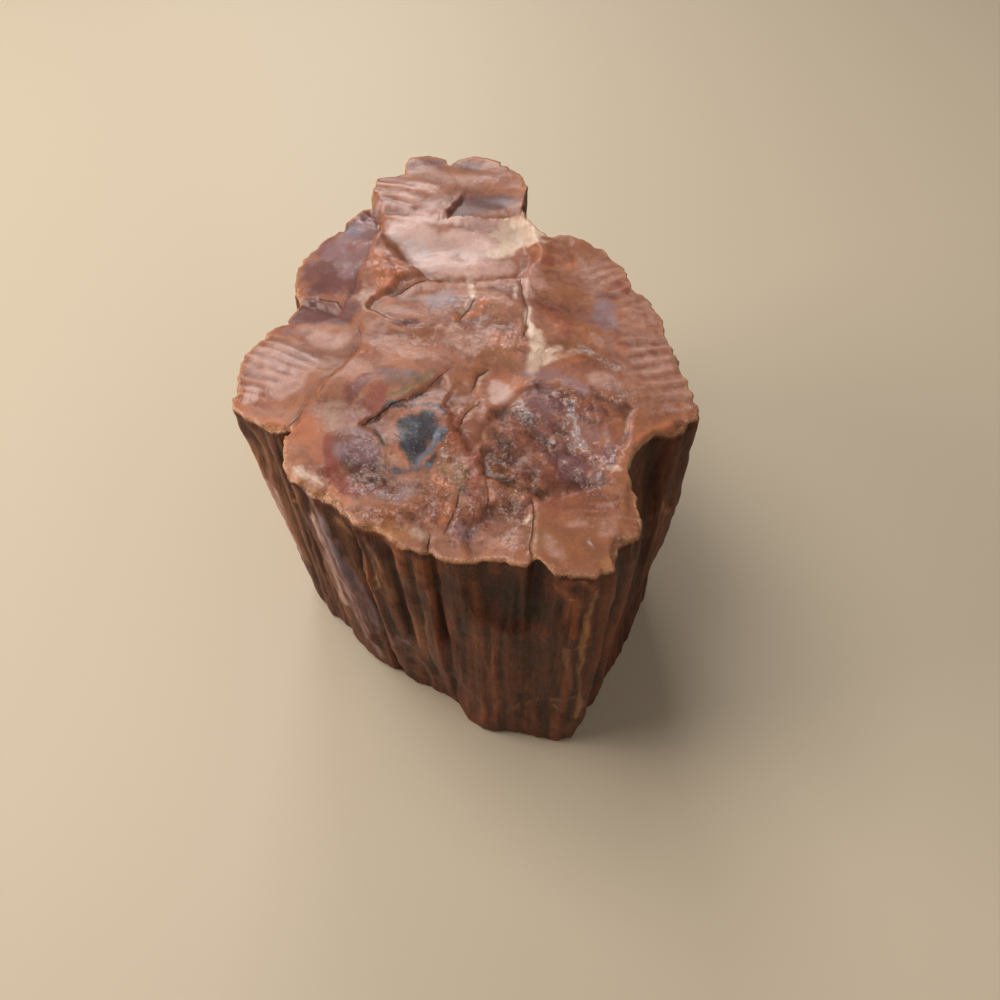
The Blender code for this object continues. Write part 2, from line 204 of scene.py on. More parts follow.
# Ledges: outline, drop, rise along x and y, width of the step.
LEDGES = {
    "strip on the left": (
        [(-27.6, -26.0), (-25.8, -20.2), (-23.6, -15.2), (-20.2, -8.6), (-20.6, -3.0), (-25.0, 1.6), (-46.0, -2.0),
         (-46.0, -30.0)],
        1.4, (0.12, 0.02), 0.8,
    ),
    "hollow behind the strip": (
        [(-46.0, -1.6), (-31.0, -0.8), (-25.2, 1.2), (-22.6, 6.0), (-21.8, 16.0), (-20.4, 24.0), (-21.4, 33.0),
         (-28.0, 45.0), (-48.0, 40.0)],
        4.0, (0.16, 0.0), 1.7,
    ),
    "facet in the hollow": (
        [(-36.0, 2.0), (-31.2, -0.6), (-28.3, -0.8), (-25.4, 1.0), (-24.2, 4.2), (-29.4, 7.6), (-36.0, 9.4)],
        0.7, (0.0, -0.10), 0.6,
    ),
    "pale scoop": (
        [(-22.0, 33.0), (-20.4, 24.0), (-16.6, 17.6), (-12.6, 11.6), (-7.4, 9.4), (-1.0, 9.8), (3.8, 9.6), (7.2, 15.0),
         (6.4, 24.0), (3.6, 27.6), (-6.0, 26.6), (-14.0, 31.0)],
        2.1, (0.02, 0.08), 2.4,
    ),
    "back lobe": (
        [(-24.0, 31.0), (-14.0, 31.0), (-6.0, 26.6), (3.6, 27.6), (14.0, 30.0), (12.0, 56.0), (-24.0, 56.0)],
        0.8, (0.0, -0.02), 1.6,
    ),
    "chip in the lobe": (
        [(-9.8, 28.2), (-7.0, 33.0), (-5.6, 37.2), (3.2, 38.4), (8.0, 36.0), (7.0, 28.8), (-2.4, 28.0)],
        0.6, (0.0, 0.12), 0.6,
    ),
    "sunken floor": (
        [(9.9, -16.7), (4.1, -17.7), (1.2, -21.6), (-1.8, -27.2), (-1.0, -34.0), (6.0, -37.6), (15.0, -35.0),
         (18.0, -28.0), (20.0, -21.0)],
        0.45, (0.0, 0.02), 0.7,
    ),
    "floor left of the hook": (
        [(-4.4, -15.6), (-1.6, -18.8), (-0.2, -24.4), (-2.6, -30.0), (-5.4, -25.0), (-7.0, -19.0)],
        0.3, (0.0, 0.02), 0.6,
    ),
    "below the eye crack": (
        [(-18.4, -24.4), (-16.0, -22.2), (-12.4, -19.3), (-7.4, -15.0), (-4.0, -20.0), (-8.0, -28.0), (-14.0, -29.0)],
        0.3, (0.06, -0.07), 0.6,
    ),
    "front of the granular floor": (
        [(-2.0, -49.0), (-2.6, -43.0), (-1.0, -38.4), (4.8, -38.2), (5.2, -49.0)],
        0.35, (0.0, -0.03), 0.6,
    ),
    "right flank": (
        [(9.0, -3.0), (9.6, 8.0), (9.0, 16.0), (8.0, 30.0), (40.0, 30.0), (40.0, -24.0), (24.0, -24.0), (20.0, -12.0)],
        0.6, (-0.07, -0.03), 3.0,
    ),
    "back of the plateau": (
        [(-20.0, 1.0), (-12.0, -4.0), (-3.0, -2.0), (4.6, 2.0), (5.6, 12.0), (-8.0, 12.0), (-16.0, 9.0)],
        0.4, (0.02, -0.02), 0.8,
    ),
    "chips on the right rim": (
        [(17.0, -46.0), (16.6, -42.0), (17.8, -35.0), (19.0, -31.6), (22.4, -27.0), (27.0, -23.2), (40.0, -30.0)],
        0.8, (-0.1, 0.0), 1.0,
    ),
}

# Cracks: path, half width, depth.
CRACKS = [
    ([(-28.6, -23.4), (-27.1, -21.8), (-25.0, -18.8), (-23.4, -14.9), (-21.7, -10.8), (-20.1, -7.4), (-20.6, -3.4)],
     0.07, 0.13),
    ([(-18.0, -24.1), (-16.0, -22.2), (-14.4, -20.4), (-12.4, -19.3)], 0.10, 0.22),
    ([(-12.4, -19.3), (-10.3, -18.1), (-7.4, -15.0), (-6.2, -13.6)], 0.06, 0.14),
    ([(5.2, -49.4), (5.0, -44.9), (5.4, -40.5), (5.2, -38.0)], 0.07, 0.25),
    ([(-1.0, -13.6), (-2.3, -14.8), (-2.6, -17.0)], 0.09, 0.25),
    ([(-2.4, -20.6), (-3.6, -22.4), (-4.2, -24.6)], 0.07, 0.2),
    ([(-0.6, -34.4), (-0.2, -36.4), (-0.4, -38.3)], 0.07, 0.2),
    ([(-3.9, -36.5), (-4.2, -39.0), (-5.2, -42.0)], 0.07, 0.2),
    ([(-24.0, 3.2), (-26.0, 7.0), (-29.4, 8.4)], 0.12, 0.3),
    ([(-4.6, -0.6), (-3.6, 1.2), (-3.2, 3.0)], 0.09, 0.3),
    ([(-16.0, 5.0), (-13.6, 7.4), (-11.0, 9.6)], 0.08, 0.25),
    ([(4.6, 8.0), (5.6, 0.0), (5.0, -6.0)], 0.07, 0.2),
    ([(-7.6, -46.4), (-7.6, -43.6)], 0.08, 0.4),
]

# Ribs: a point on the edge they start from, the way they run in degrees, spacing, height, length and width of their
# field.
RIBS = [
    ((-36.5, -11.0), -31.0, 1.7, 0.10, 12.0, 11.0),
    ((27.5, -12.0), 188.0, 2.6, 0.10, 9.0, 12.0),
    ((23.0, 8.0), 205.0, 2.4, 0.09, 7.0, 9.0),
    ((-21.0, 36.0), -26.0, 2.6, 0.10, 12.0, 9.0),
    ((17.0, -39.0), 178.0, 1.3, 0.07, 9.0, 5.0),
]

# How rough the end is. Each pair is the size of a noise and how high it lifts the end, or how far it moves a ledge, a
# crack or a rib.
LUMPS = (6.0, 0.14)
FACES = (7.0, 0.12)
CHUNKS = (2.7, 0.17)
SMALL_CHUNKS = (1.25, 0.08)
GRIT = (1.3, 0.06)
RAGGED = (4.5, 0.9)
RAGGED_FINE = (1.2, 0.42)
CROOKED = (2.2, 0.35)
RIB_WANDER = (7.0, 0.7)
CRACK_EDGE = 0.2
CRACK_REACH = 0.7
FAR_ACROSS = 9.0


def chunks(x, y, size, seed):
    """Flat, tilted faces round scattered points. Each face has a random slope and height, and each place takes the sum
    of weight times face over the sum of weight, where the weight falls off as exp(-14 times the distance squared)."""
    table = np.random.default_rng(seed).uniform(-1.0, 1.0, (LATTICE, LATTICE, 5))
    u, v = x / size + 40.0, y / size + 40.0
    total, weights = np.zeros_like(x), np.full_like(x, 1e-9)
    for step_u in (-1, 0, 1):
        for step_v in (-1, 0, 1):
            i, j = np.floor(u).astype(int) + step_u, np.floor(v).astype(int) + step_v
            off_u, off_v, slope_u, slope_v, lift = np.moveaxis(table[i % LATTICE, j % LATTICE], -1, 0)
            du, dv = u - i - 0.5 - 0.45 * off_u, v - j - 0.5 - 0.45 * off_v
            weight = np.exp(-14.0 * (du**2 + dv**2))
            total = total + weight * (slope_u * du + slope_v * dv + 0.5 * lift)
            weights = weights + weight
    return total / weights


def pushed(x, y, seed):
    """A place moved by two sizes of noise."""
    dx = RAGGED[1] * rough(x, y, RAGGED[0], seed) + RAGGED_FINE[1] * rough(x, y, RAGGED_FINE[0], seed + 7)
    dy = RAGGED[1] * rough(x, y, RAGGED[0], seed + 13) + RAGGED_FINE[1] * rough(x, y, RAGGED_FINE[0], seed + 19)
    return np.stack([x + dx, y + dy], axis=1)


def end_height(x, y, granular, polished):
    """Plane + waves + ledges - cracks + ribs + lumps + grit. Returns the height, the place across the nearest crack in
    half widths, how near that crack is, and the ribs."""
    z = TOP_HEIGHT - TOP_FALL * (y - FRONT_EDGE_Y)
    for direction, wavelength, height in WAVES:
        across = x * np.cos(np.radians(direction)) + y * np.sin(np.radians(direction))
        z = z + height * np.sin(across * 2 * np.pi / wavelength)
    place = pushed(x, y, 100)
    for outline, drop, (rise_x, rise_y), step in LEDGES.values():
        middle = np.mean(np.array(outline), axis=0)
        floor = -drop + rise_x * (x - middle[0]) + rise_y * (y - middle[1])
        z = z + np.minimum(floor, 0.0) * smooth(depth_inside(place, outline) / step + 0.5)
    crack_place, crack_near = np.full_like(x, FAR_ACROSS), np.zeros_like(x)
    size, reach = CROOKED
    crooked = np.stack([x + reach * rough(x, y, size, 131), y + reach * rough(x, y, size, 151)], axis=1)
    for path, half_width, depth in CRACKS:
        away = distance_to_path(crooked, path)
        z = z - depth * np.exp(-((away / (half_width + CRACK_EDGE)) ** 2))
        near = smooth(2.0 - away / CRACK_REACH) * min(1.0, 0.35 + 1.6 * depth)
        crack_place = np.where(near > crack_near, which_side(crooked, path) * away / half_width, crack_place)
        crack_near = np.maximum(crack_near, near)
    ribs = np.zeros_like(x)
    for (from_x, from_y), direction, spacing, height, length, width in RIBS:
        c, s = np.cos(np.radians(direction)), np.sin(np.radians(direction))
        run = (x - from_x) * c + (y - from_y) * s
        across = (y - from_y) * c - (x - from_x) * s
        field = smooth(1.6 - np.abs(run) / length * 1.6) * smooth(1.6 - np.abs(across) / width * 1.6)
        wander = RIB_WANDER[1] * rough(run, across, RIB_WANDER[0], 171)
        uneven = 0.75 + 0.6 * rough(run / 3, across, 1.9, 181)
        wave = field * uneven * np.sin((across + wander) * 2 * np.pi / spacing)
        z = z + height * wave
        ribs = ribs + wave * min(1.0, height / 0.1)
    calm = 1.0 - 0.75 * polished
    z = z + LUMPS[1] * calm * rough(x, y, LUMPS[0], 201)
    z = z + FACES[1] * calm * chunks(place[:, 0], place[:, 1], FACES[0], 211)
    z = z + granular * (CHUNKS[1] * chunks(x, y, CHUNKS[0], 213) + SMALL_CHUNKS[1] * chunks(x, y, SMALL_CHUNKS[0], 215))
    z = z + GRIT[1] * (0.3 * calm + granular) * rough(x, y, GRIT[0], 221, 2)
    return z, crack_place, crack_near, ribs


print(len(LEDGES), "ledges,", len(CRACKS), "cracks,", len(RIBS), "fields of ribs")

# %% [markdown]
# ## The split side
#
# A split face of wood is a set of laths: strips that run up the grain, each a little in front of or behind the next.
# Wide laths are broken into narrow ones and into splinters, and these snap across at heights of their own. The relief
# is a distance outwards for each place along the rim and each height. Grooves and chips that can be seen on the real
# stone are placed one by one, by the rim point beside them, and so is the stretch that split more smoothly. Each narrow
# lath also gets a tone, because on the real stone one strip is paler than the next.

# %% Relief of the side
# Laths: width, how far one stands out from the next, seed.
LATHS = (6.5, 0.62, 11)
NARROW_LATHS = (2.3, 0.12, 23)
SPLINTERS = (0.9, 0.06, 29)

# Swells: cells in each SWELL_WIDTH of the rim, height of a cell, strength, seed.
SWELL_WIDTH = 1.4
SWELLS = [(1, 14.0, 0.22, 311), (2, 6.0, 0.12, 321), (0.5, 2.4, 0.12, 331), (2, 0.9, 0.07, 335)]

# Where the laths fade out, how deep the rim and the foot are worn, and over what height.
RIM_FADE = 7.0
FOOT_FADE = 10.0
RIM_WEAR = 0.05
RIM_CHIPPING = 0.55
RIM_WEAR_HEIGHT = 0.7
RIM_RAGGED = 0.16
RIM_RAGGED_HEIGHT = 1.6
FOOT_WEAR = 0.4
FOOT_WEAR_HEIGHT = 1.0

# Grooves: rim point, half width, depth, lower and upper end. Those deeper than the next number get painted shade.
SHADED_GROOVE_DEPTH = 0.65
GROOVES = [
    ((-19.0, -39.4), 1.0, 1.3, 0.0, 55.0),
    ((-22.6, -36.6), 1.6, -0.7, 10.0, 56.0),
    ((-17.0, -41.8), 0.6, -0.5, 20.0, 58.0),
    ((-13.0, -43.4), 0.9, 0.8, 25.0, 55.0),
    ((-10.2, -45.2), 0.5, 0.5, 35.0, 56.0),
    ((-7.4, -45.6), 0.5, 0.8, 30.0, 58.0),
    ((5.6, -48.2), 0.9, 0.5, 49.0, 60.0),
    ((14.9, -47.8), 0.8, -0.7, 5.0, 60.0),
    ((16.6, -44.2), 0.8, 0.6, 0.0, 55.0),
    ((28.9, -14.0), 1.5, 0.8, 0.0, 56.0),
    ((27.3, -6.6), 1.6, 0.9, 0.0, 60.0),
    ((26.4, 0.6), 1.5, 0.8, 0.0, 60.0),
    ((22.6, 9.6), 1.9, 1.0, 0.0, 60.0),
    ((-9.0, 47.0), 1.5, 1.0, 0.0, 60.0),
    ((-20.6, 42.6), 1.9, 1.2, 0.0, 60.0),
    ((-29.4, 27.6), 2.1, 1.3, 0.0, 60.0),
    ((-34.0, 8.4), 2.2, 1.5, 0.0, 60.0),
    ((-36.6, -4.6), 1.4, 0.7, 0.0, 60.0),
    ((-33.6, -22.4), 1.2, 0.6, 0.0, 56.0),
]
GROOVE_FADE = 5.0

# A stretch that split more smoothly: rim point, half width, share of the laths' relief that it lacks.
SMOOTH_STRETCH = ((-28.0, -30.0), 15.0, 0.6)

# Chips: rim point, height, half width, half height, depth.
CHIPS = [
    ((3.2, -48.6), 50.0, 7.0, 9.5, 1.7),
    ((21.0, -30.0), 47.0, 7.5, 14.0, 2.2),
    ((29.2, -22.0), 36.0, 6.0, 22.0, -1.2),
    ((-10.0, -45.0), 8.0, 9.0, 10.0, 1.4),
    ((24.8, 4.0), 20.0, 10.0, 15.0, 1.8),
    ((-4.0, 50.2), 40.0, 9.0, 12.0, 1.6),
    ((-34.8, 16.0), 26.0, 11.0, 17.0, 2.0),
    ((-17.6, -41.4), 50.0, 3.0, 6.0, 0.7),
    ((-25.0, -35.4), 53.0, 3.4, 4.0, 0.7),
    ((12.0, -49.2), 47.0, 3.6, 5.0, 0.5),
    ((11.0, -49.2), 14.0, 4.6, 6.0, 0.6),
    ((-3.0, -47.0), 30.0, 4.0, 9.0, 0.5),
    ((-36.0, -20.4), 47.0, 3.0, 6.0, 0.6),
]


def lath_relief(along, z, girth, laths, sway, snap):
    """One offset and one tilt for each lath. sway bends the splits sideways as they rise, and snap changes a lath's
    offset from one length of it to the next."""
    width, step, seed = laths
    rng = np.random.default_rng(seed)
    count = round(girth / width)
    edges = (np.arange(count) + rng.uniform(0.1, 0.9, count)) * girth / count
    place = (along + sway) % girth
    lath = np.searchsorted(edges, place) % count
    offset = rng.uniform(-1.0, 1.0, count) * step
    tilt = rng.uniform(-0.5, 0.5, count) * step
    lengths = rng.uniform(7.0, 19.0, count)
    breaks = rng.uniform(-1.0, 1.0, (count, LATTICE)) * step * snap
    piece = np.floor(z / lengths[lath] + lath * 0.37).astype(int) % LATTICE
    start = edges[lath - 1]
    share = ((place - start) % girth) / ((edges[lath] - start) % girth)
    rounded = 1.0 - (2.0 * share - 1.0) ** 8
    return (offset[lath] + tilt[lath] * (2.0 * share - 1.0) + breaks[lath, piece]) * rounded


def side_relief(rim, along, girth, z, rim_z, wear):
    """Laths + narrow laths + splinters + swells - grooves - chips - worn edges, for every height and every rim point.
    Returns it with how much painted shade the deep grooves get, and a tone for each narrow lath."""
    around = round(girth / SWELL_WIDTH)
    u = along / girth * around + 0.0 * z
    sway = 0.5 * lattice(u / 4, z / 17.0, 301, around // 4)
    whole = along + 0.0 * z
    fade = smooth((rim_z - z) / RIM_FADE) * smooth(z / FOOT_FADE)
    near_end = 0.3 + 0.7 * smooth((rim_z - z) / 3.0) * smooth(z / FOOT_FADE)
    (stretch_x, stretch_y), half_width, lack = SMOOTH_STRETCH
    away = np.hypot(rim[:, 0] - stretch_x, rim[:, 1] - stretch_y)
    fullness = 1.0 - lack * np.exp(-((away / half_width) ** 2))
    relief = lath_relief(whole, z, girth, LATHS, 0.0, 0.0) * fade * fullness
    narrow = lath_relief(whole, z, girth, NARROW_LATHS, sway, 0.8)
    splinters = lath_relief(whole, z, girth, SPLINTERS, 1.5 * sway, 1.2)
    relief = relief + (narrow + splinters) * near_end * fullness
    tone = (narrow / NARROW_LATHS[1] * 0.7 + splinters / SPLINTERS[1] * 0.3) * fullness
    for cells, tall, strength, seed in SWELLS:
        relief = relief + strength * lattice(cells * u, z / tall, seed, int(cells * around))
    ragged = RIM_RAGGED * lattice(2 * u, z / 0.6, 337, 2 * around)
    relief = relief + ragged * smooth(1.0 - (rim_z - z) / RIM_RAGGED_HEIGHT)
    painted_shade = np.zeros_like(relief)
    for (groove_x, groove_y), half_width, depth, low, high in GROOVES:
        away = np.hypot(rim[:, 0] - groove_x, rim[:, 1] - groove_y) + 0.8 * sway
        ends = smooth((z - low) / GROOVE_FADE + 0.5) * smooth((high - z) / GROOVE_FADE + 0.5)
        dip = np.exp(-((away / half_width) ** 2)) * ends * (0.25 + 0.75 * smooth((rim_z - z) / 2.5))
        relief = relief - depth * dip
        # Deep grooves get painted shade.
        painted_shade = np.maximum(painted_shade, dip * (depth > SHADED_GROOVE_DEPTH))
    for (chip_x, chip_y), height, half_width, half_height, depth in CHIPS:
        away = np.hypot(rim[:, 0] - chip_x, rim[:, 1] - chip_y) / half_width
        bowl = 1.0 - away**2 - ((z - height) / half_height) ** 2 + 0.1 * lattice(u / 2, z / 3.0, 341, around // 2)
        relief = relief - depth * np.clip(bowl, 0.0, None) ** 0.7
    relief = relief - wear * smooth(1.0 - (rim_z - z) / RIM_WEAR_HEIGHT)
    return relief - FOOT_WEAR * smooth(1.0 - z / FOOT_WEAR_HEIGHT), painted_shade, tone


print(len(GROOVES), "grooves and", len(CHIPS), "chips")

# %% [markdown]
# ## Where the colours lie
#
# Agate takes its colours from what seeped in, so they lie in patches with no order. One picture could hold them, but a
# few strokes do as well and can be moved: a stroke has a strength, a half width and the places it runs through. A
# stroke with two numbers for each place lies on the broken end. One with three has a height as well, and lies on the
# side. Each colour becomes one value from 0 to 1 at every corner of the mesh, and the finish mixes its paint by it.

# %% Strokes of colour
STROKES = {
    "orange": [
        (0.8, 2.6, [(-25.4, -26.8), (-25, -25.1)]), (0.7, 1.7, [(-23, -27.7), (-22.6, -31.1)]),
        (0.9, 0.7, [(-12.6, -29.2), (-11.9, -30.3)]), (1, 0.6, [(-7.8, -33.5), (-6.8, -34.7), (-5.8, -35.1)]),
        (0.9, 2.7, [(-18, 12), (-17.5, 8.5)]), (0.8, 1.3, [(-18.5, 5), (-17, 3.5)]),
        (0.9, 0.9, [(-6, -1), (-2.5, 0), (-1.5, 2.5)]), (0.5, 2.8, [(-15, -8), (-9.5, -8.5)]),
        (0.5, 1.8, [(-19, -8.5), (-20.5, -14.5)]), (0.6, 1.9, [(0.5, -5), (0.5, -8.5)]),
        (1, 1.5, [(1.5, -15.5), (4, -15.5), (2, -19.5)]), (0.9, 0.7, [(12.5, 12.5), (14, 13.5)]),
        (0.7, 0.8, [(0.5, -9), (4, -10.5)]), (0.9, 0.6, [(-7, -34), (-5.5, -36)]), (0.7, 1.2, [(-5, -39), (-5.5, -41)]),
        (0.6, 1, [(-5.5, -26.5), (-5, -30.5)]), (0.9, 0.8, [(20.5, -28), (21.8, -26.4), (25, -24)]),
        (0.7, 0.7, [(-20.5, -36), (-18, -38.5)]), (0.7, 1, [(10.5, -10.5), (12.5, -11.5)]),
        (0.8, 0.7, [(19, -8.5), (20.5, -9.5)]), (0.8, 0.9, [(-37, -19), (-33, -21.5), (-30, -22.5)]),
        (0.9, 1.4, [(-20.2, 16.2), (-16.7, 10.7)]), (0.6, 1, [(8.5, -0.5), (11, -4.5)]),
    ],
    "tan": [
        (0.7, 1.6, [(-0.2, -9.4), (2.5, -10)]), (0.8, 1.7, [(6.6, -16.4), (9.5, -17)]),
        (0.7, 1.3, [(10.7, -8.6), (13, -8)]), (0.6, 2.8, [(9, -43.5), (14, -42)]),
        (0.5, 1.7, [(7.5, -46.5), (11.5, -47), (14, -46)]), (0.8, 1, [(18, -35.5), (18, -41)]),
        (0.8, 1.5, [(0.5, -10), (4, -12.5)]), (0.6, 1.6, [(19.5, -17.5), (23.5, -19.5)]),
        (0.6, 1.8, [(8.5, 5), (14.5, 5.5)]), (0.7, 1.5, [(6, -41.5), (6, -46)]), (0.7, 1.9, [(-22, -3), (-19, 0.5)]),
        (0.6, 1.9, [(-23.5, -7), (-24.5, -14)]), (0.6, 1.2, [(0.5, 2), (1.5, -2.5)]),
        (0.7, 1, [(-13, -42.5, 54.5), (-11.5, -44, 51), (-11, -44, 44.5)]), (0.6, 0.9, [(11, -49, 37), (12, -49, 24)]),
        (0.5, 1, [(2.5, -48, 10.5), (6, -48, 15.5)]), (0.7, 2.4, [(-37, -17, 50), (-36, -20, 38), (-36, -18, 20)]),
        (0.7, 2.2, [(-28.5, -27, 50), (-28, -28, 38), (-28, -28, 20)]), (0.6, 1.6, [(-14.5, -42, 50), (-14, -42, 40)]),
        (0.5, 1.6, [(-10.5, -44, 40), (-10.5, -44, 20)]), (0.6, 2.2, [(-34, -22, 54), (-34, -22, 20)]),
        (0.5, 1.6, [(-38, -16, 54), (-38, -14, 20)]), (0.5, 1.4, [(-20, -38, 54), (-19, -37, 30)]),
        (0.8, 3.2, [(-21.5, -22.5), (-20, -26)]), (0.3, 6, [(-12, 40), (-5, 42)]),
        (0.5, 2, [(-26, -32, 54), (-26, -31, 14)]), (0.45, 2.4, [(-21.5, -21.5), (-19, -24)]),
        (0.5, 2.6, [(23, -27, 50), (24, -27, 32)]), (0.5, 7, [(-34, 8, 42), (-34, 8, 10)]),
        (0.5, 6, [(-20, 40, 42), (-20, 40, 12)]), (0.45, 7, [(3, 42, 44), (3, 40, 10)]),
        (0.5, 7, [(20, 20, 42), (20, 20, 8)]), (0.4, 6, [(30, -4, 44), (30, -4, 12)]),
    ],
    "red": [
        (0.9, 1, [(-22, -27.5), (-21, -33.5), (-18, -36.5)]), (0.7, 0.7, [(-18.5, -23.5), (-16.5, -21)]),
        (0.6, 1.1, [(-3, -27), (-2.3, -31)]), (0.6, 0.8, [(-2.2, -34), (-2, -37.5)]),
        (0.5, 1.3, [(-2, -40.5), (-1, -41.5)]), (0.55, 1.5, [(9, 0.5), (12, -5)]), (0.7, 1.1, [(20, 8), (22, 6.5)]),
        (0.8, 1.6, [(-16.3, -17.7), (-16.4, -20.1)]), (0.5, 1.2, [(-1.6, -40)]),
        (0.6, 0.8, [(6.4, -18.6), (7.4, -21.6)]), (0.7, 0.9, [(-19.5, -24), (-20.5, -18), (-18.5, -14.5)]),
        (0.8, 0.8, [(6, -20.5), (6.5, -22)]), (0.4, 1.2, [(-6, -19), (-6, -22)]),
        (0.4, 1.3, [(-4.5, -22.5), (-4.5, -27.5)]), (0.6, 0.8, [(-17.5, 13.5), (-16.5, 9.5)]),
        (0.6, 1.3, [(5.5, 10), (7, 14.5), (10.5, 14)]), (0.5, 1.9, [(8, -33.5), (10.5, -35)]),
        (0.5, 1.3, [(-6.5, -25), (-4.5, -25)]), (0.7, 0.9, [(-17.7, -19.6), (-16.2, -18.4)]),
        (0.5, 1, [(-5.6, -24.2), (-4.9, -31.1)]), (0.6, 0.9, [(8.5, -24.8), (7.8, -23.4)]),
        (0.5, 0.9, [(11.5, -32.5), (12.2, -33.4)]), (0.4, 1.6, [(8, -38.5), (13, -37.5)]),
    ],
    "plum": [
        (0.9, 1.9, [(6.8, -20), (8.6, -20.6)]), (0.9, 2, [(9.6, -30.3), (10.8, -33.8)]),
        (0.7, 1.6, [(10.9, -32.5), (11.4, -35.1)]), (0.7, 2.7, [(-19, -27.7), (-17.6, -31.1)]),
        (0.6, 1.9, [(-16.6, -34.3), (-14.5, -36.4), (-11.2, -36)]), (1, 2.1, [(-31.5, 7), (-27.5, 4.5)]),
        (0.9, 1.4, [(-34, 5), (-30, 3.5)]), (0.9, 1.4, [(-29, 18), (-28, 13.5)]), (0.8, 1.7, [(-24, 33), (-22, 26)]),
        (0.8, 1.4, [(-24, 11.5), (-22.5, 4.5)]), (0.9, 1.1, [(-7.5, 30), (-4.5, 30)]),
        (0.8, 0.9, [(-16.5, 46), (-10.5, 48)]), (0.7, 1.1, [(-7, 48), (-3.5, 47)]), (0.8, 1.6, [(7.5, -17), (9, -19)]),
        (0.7, 1.2, [(17.5, 4.5), (19.5, 4.5)]), (0.5, 1.3, [(14.5, -18), (15.5, -22)]),
        (0.7, 1.6, [(-32, 19), (-32, 15)]), (0.6, 1.5, [(-15.5, -35), (-14, -36)]),
        (0.7, 1, [(-14.5, -2.5), (-12, -3)]), (0.5, 1.2, [(-19, -16), (-20, -18.5)]),
        (0.9, 2.8, [(-29.5, 17), (-27, 12)]), (0.8, 2.2, [(-26, 30), (-23.5, 24)]), (0.9, 3, [(-5, 33), (1, 34)]),
        (0.7, 2.3, [(6.5, -18.5), (7.5, -21.9)]), (0.6, 3.2, [(-27, 19), (-24.5, 13)]),
        (1, 2.4, [(-30.2, 11.8), (-25.1, 13.9)]), (1, 2.8, [(-30.5, 0.5), (-23.5, 0.5)]),
        (0.6, 1.9, [(-30, 24), (-27, 20)]), (0.35, 2.4, [(-15, -25), (-13.5, -28)]), (0.7, 4, [(-28, 22), (-27, 12)]),
        (0.42, 4, [(3, -28), (7, -32), (13, -34)]),
    ],
    "lilac": [
        (0.9, 1.9, [(-25.5, 27.5), (-23.5, 31)]), (0.7, 1.6, [(-26.5, 18.5), (-25, 13.5)]),
        (0.6, 1.1, [(-32.5, 22.5), (-30, 24)]), (0.7, 2, [(-9, 3), (-7, 4)]), (0.8, 1.8, [(18, 2), (18, -2)]),
        (0.5, 1.2, [(14, -0.5), (16, -2)]), (0.9, 1.9, [(-19.5, -29.5), (-16.5, -30)]),
        (0.5, 1.3, [(-18, -26.5), (-17, -27)]), (0.6, 1, [(-12, -38), (-11, -36.5)]),
        (0.6, 1.3, [(-4.5, -42.5), (-2.5, -43)]), (0.7, 1.3, [(11.5, -16), (13, -18)]),
        (0.7, 1.1, [(16, -29), (16, -31)]), (0.7, 1.2, [(-15, -15), (-12, -14.5)]),
        (0.7, 0.6, [(-36, -8), (-32.5, -10.5), (-28.5, -13.5)]), (0.7, 0.6, [(-37, -11), (-33, -13.5), (-29.5, -16)]),
        (0.6, 0.5, [(-38, -13.5), (-35, -15.5), (-31, -18)]), (0.6, 0.6, [(-34, -5.5), (-31, -7.5)]),
        (0.6, 0.6, [(-32.5, -3.5), (-28.5, -5)]), (0.6, 0.8, [(-21.5, 34), (-16.5, 31.5), (-12, 27.5)]),
        (0.8, 1.2, [(-23.5, -35.5, 57), (-23, -36.5, 51.5), (-23, -36, 41.5), (-23, -35, 27.5)]),
        (0.7, 1, [(-23.5, -34.5, 25), (-22.5, -35, 14), (-21, -35, 4.5)]),
        (0.5, 1, [(-16, -40, 19), (-12.5, -41.5, 26)]), (0.5, 0.7, [(26, -25.5, 38.5), (27, -25, 34)]),
        (0.9, 2, [(-29, 21), (-26, 25)]), (0.7, 1.8, [(-26.5, 20), (-25, 15)]),
        (0.6, 0.6, [(-19.7, -17.2), (-18, -14.5), (-14.9, -13.7)]), (0.6, 1.1, [(5.1, -13.8), (9.6, -14.8)]),
        (1, 1, [(-20.5, -36.5, 43), (-20, -36.5, 32.5), (-20, -36, 20)]),
        (0.7, 1.2, [(-22, -36.5, 48), (-22, -36, 36.5), (-21.5, -35.5, 23.5)]),
        (0.5, 1.3, [(-19.5, -36, 20.5), (-17.5, -38, 18.5)]), (0.6, 1.9, [(-24, 22), (-21.9, 16.2)]),
        (0.4, 4, [(4, -22), (12, -24), (12, -31)]), (0.6, 1.8, [(-21.5, -36.5, 40), (-21, -36.5, 18)]),
        (0.4, 5, [(-30, 24, 44), (-30, 22, 14)]), (0.4, 4, [(12, 27, 40), (12, 26, 14)]),
    ],
    "pale": [
        (0.8, 1.4, [(1, -16.9), (1.4, -19)]), (0.5, 1.9, [(15.6, -15.4), (17.7, -16.9)]), (0.9, 0.4, [(8.5, -26.9)]),
        (0.9, 3.3, [(-16, 24.5), (-11.5, 21.5), (-11, 17)]), (0.8, 3.3, [(-7, 21.5), (-2.5, 22), (-0.5, 19.5)]),
        (1, 1.6, [(-4.5, 18.5), (-3.5, 17)]), (0.9, 2.2, [(-13, 19.5), (-11, 15.5)]),
        (0.7, 1.5, [(-17, 28.5), (-19, 22.5)]), (0.5, 2.5, [(-32, -9), (-28, -11.5), (-30.5, -15)]),
        (0.7, 1.2, [(-36, -15), (-35.5, -17.5)]), (0.6, 1.9, [(-27, -5.5), (-23.5, -6)]),
        (0.45, 1.9, [(-16, 35), (-12, 31.5)]), (0.3, 2.4, [(-8, 41), (-4.5, 40)]), (0.5, 1.2, [(-14, 38), (-12, 36.5)]),
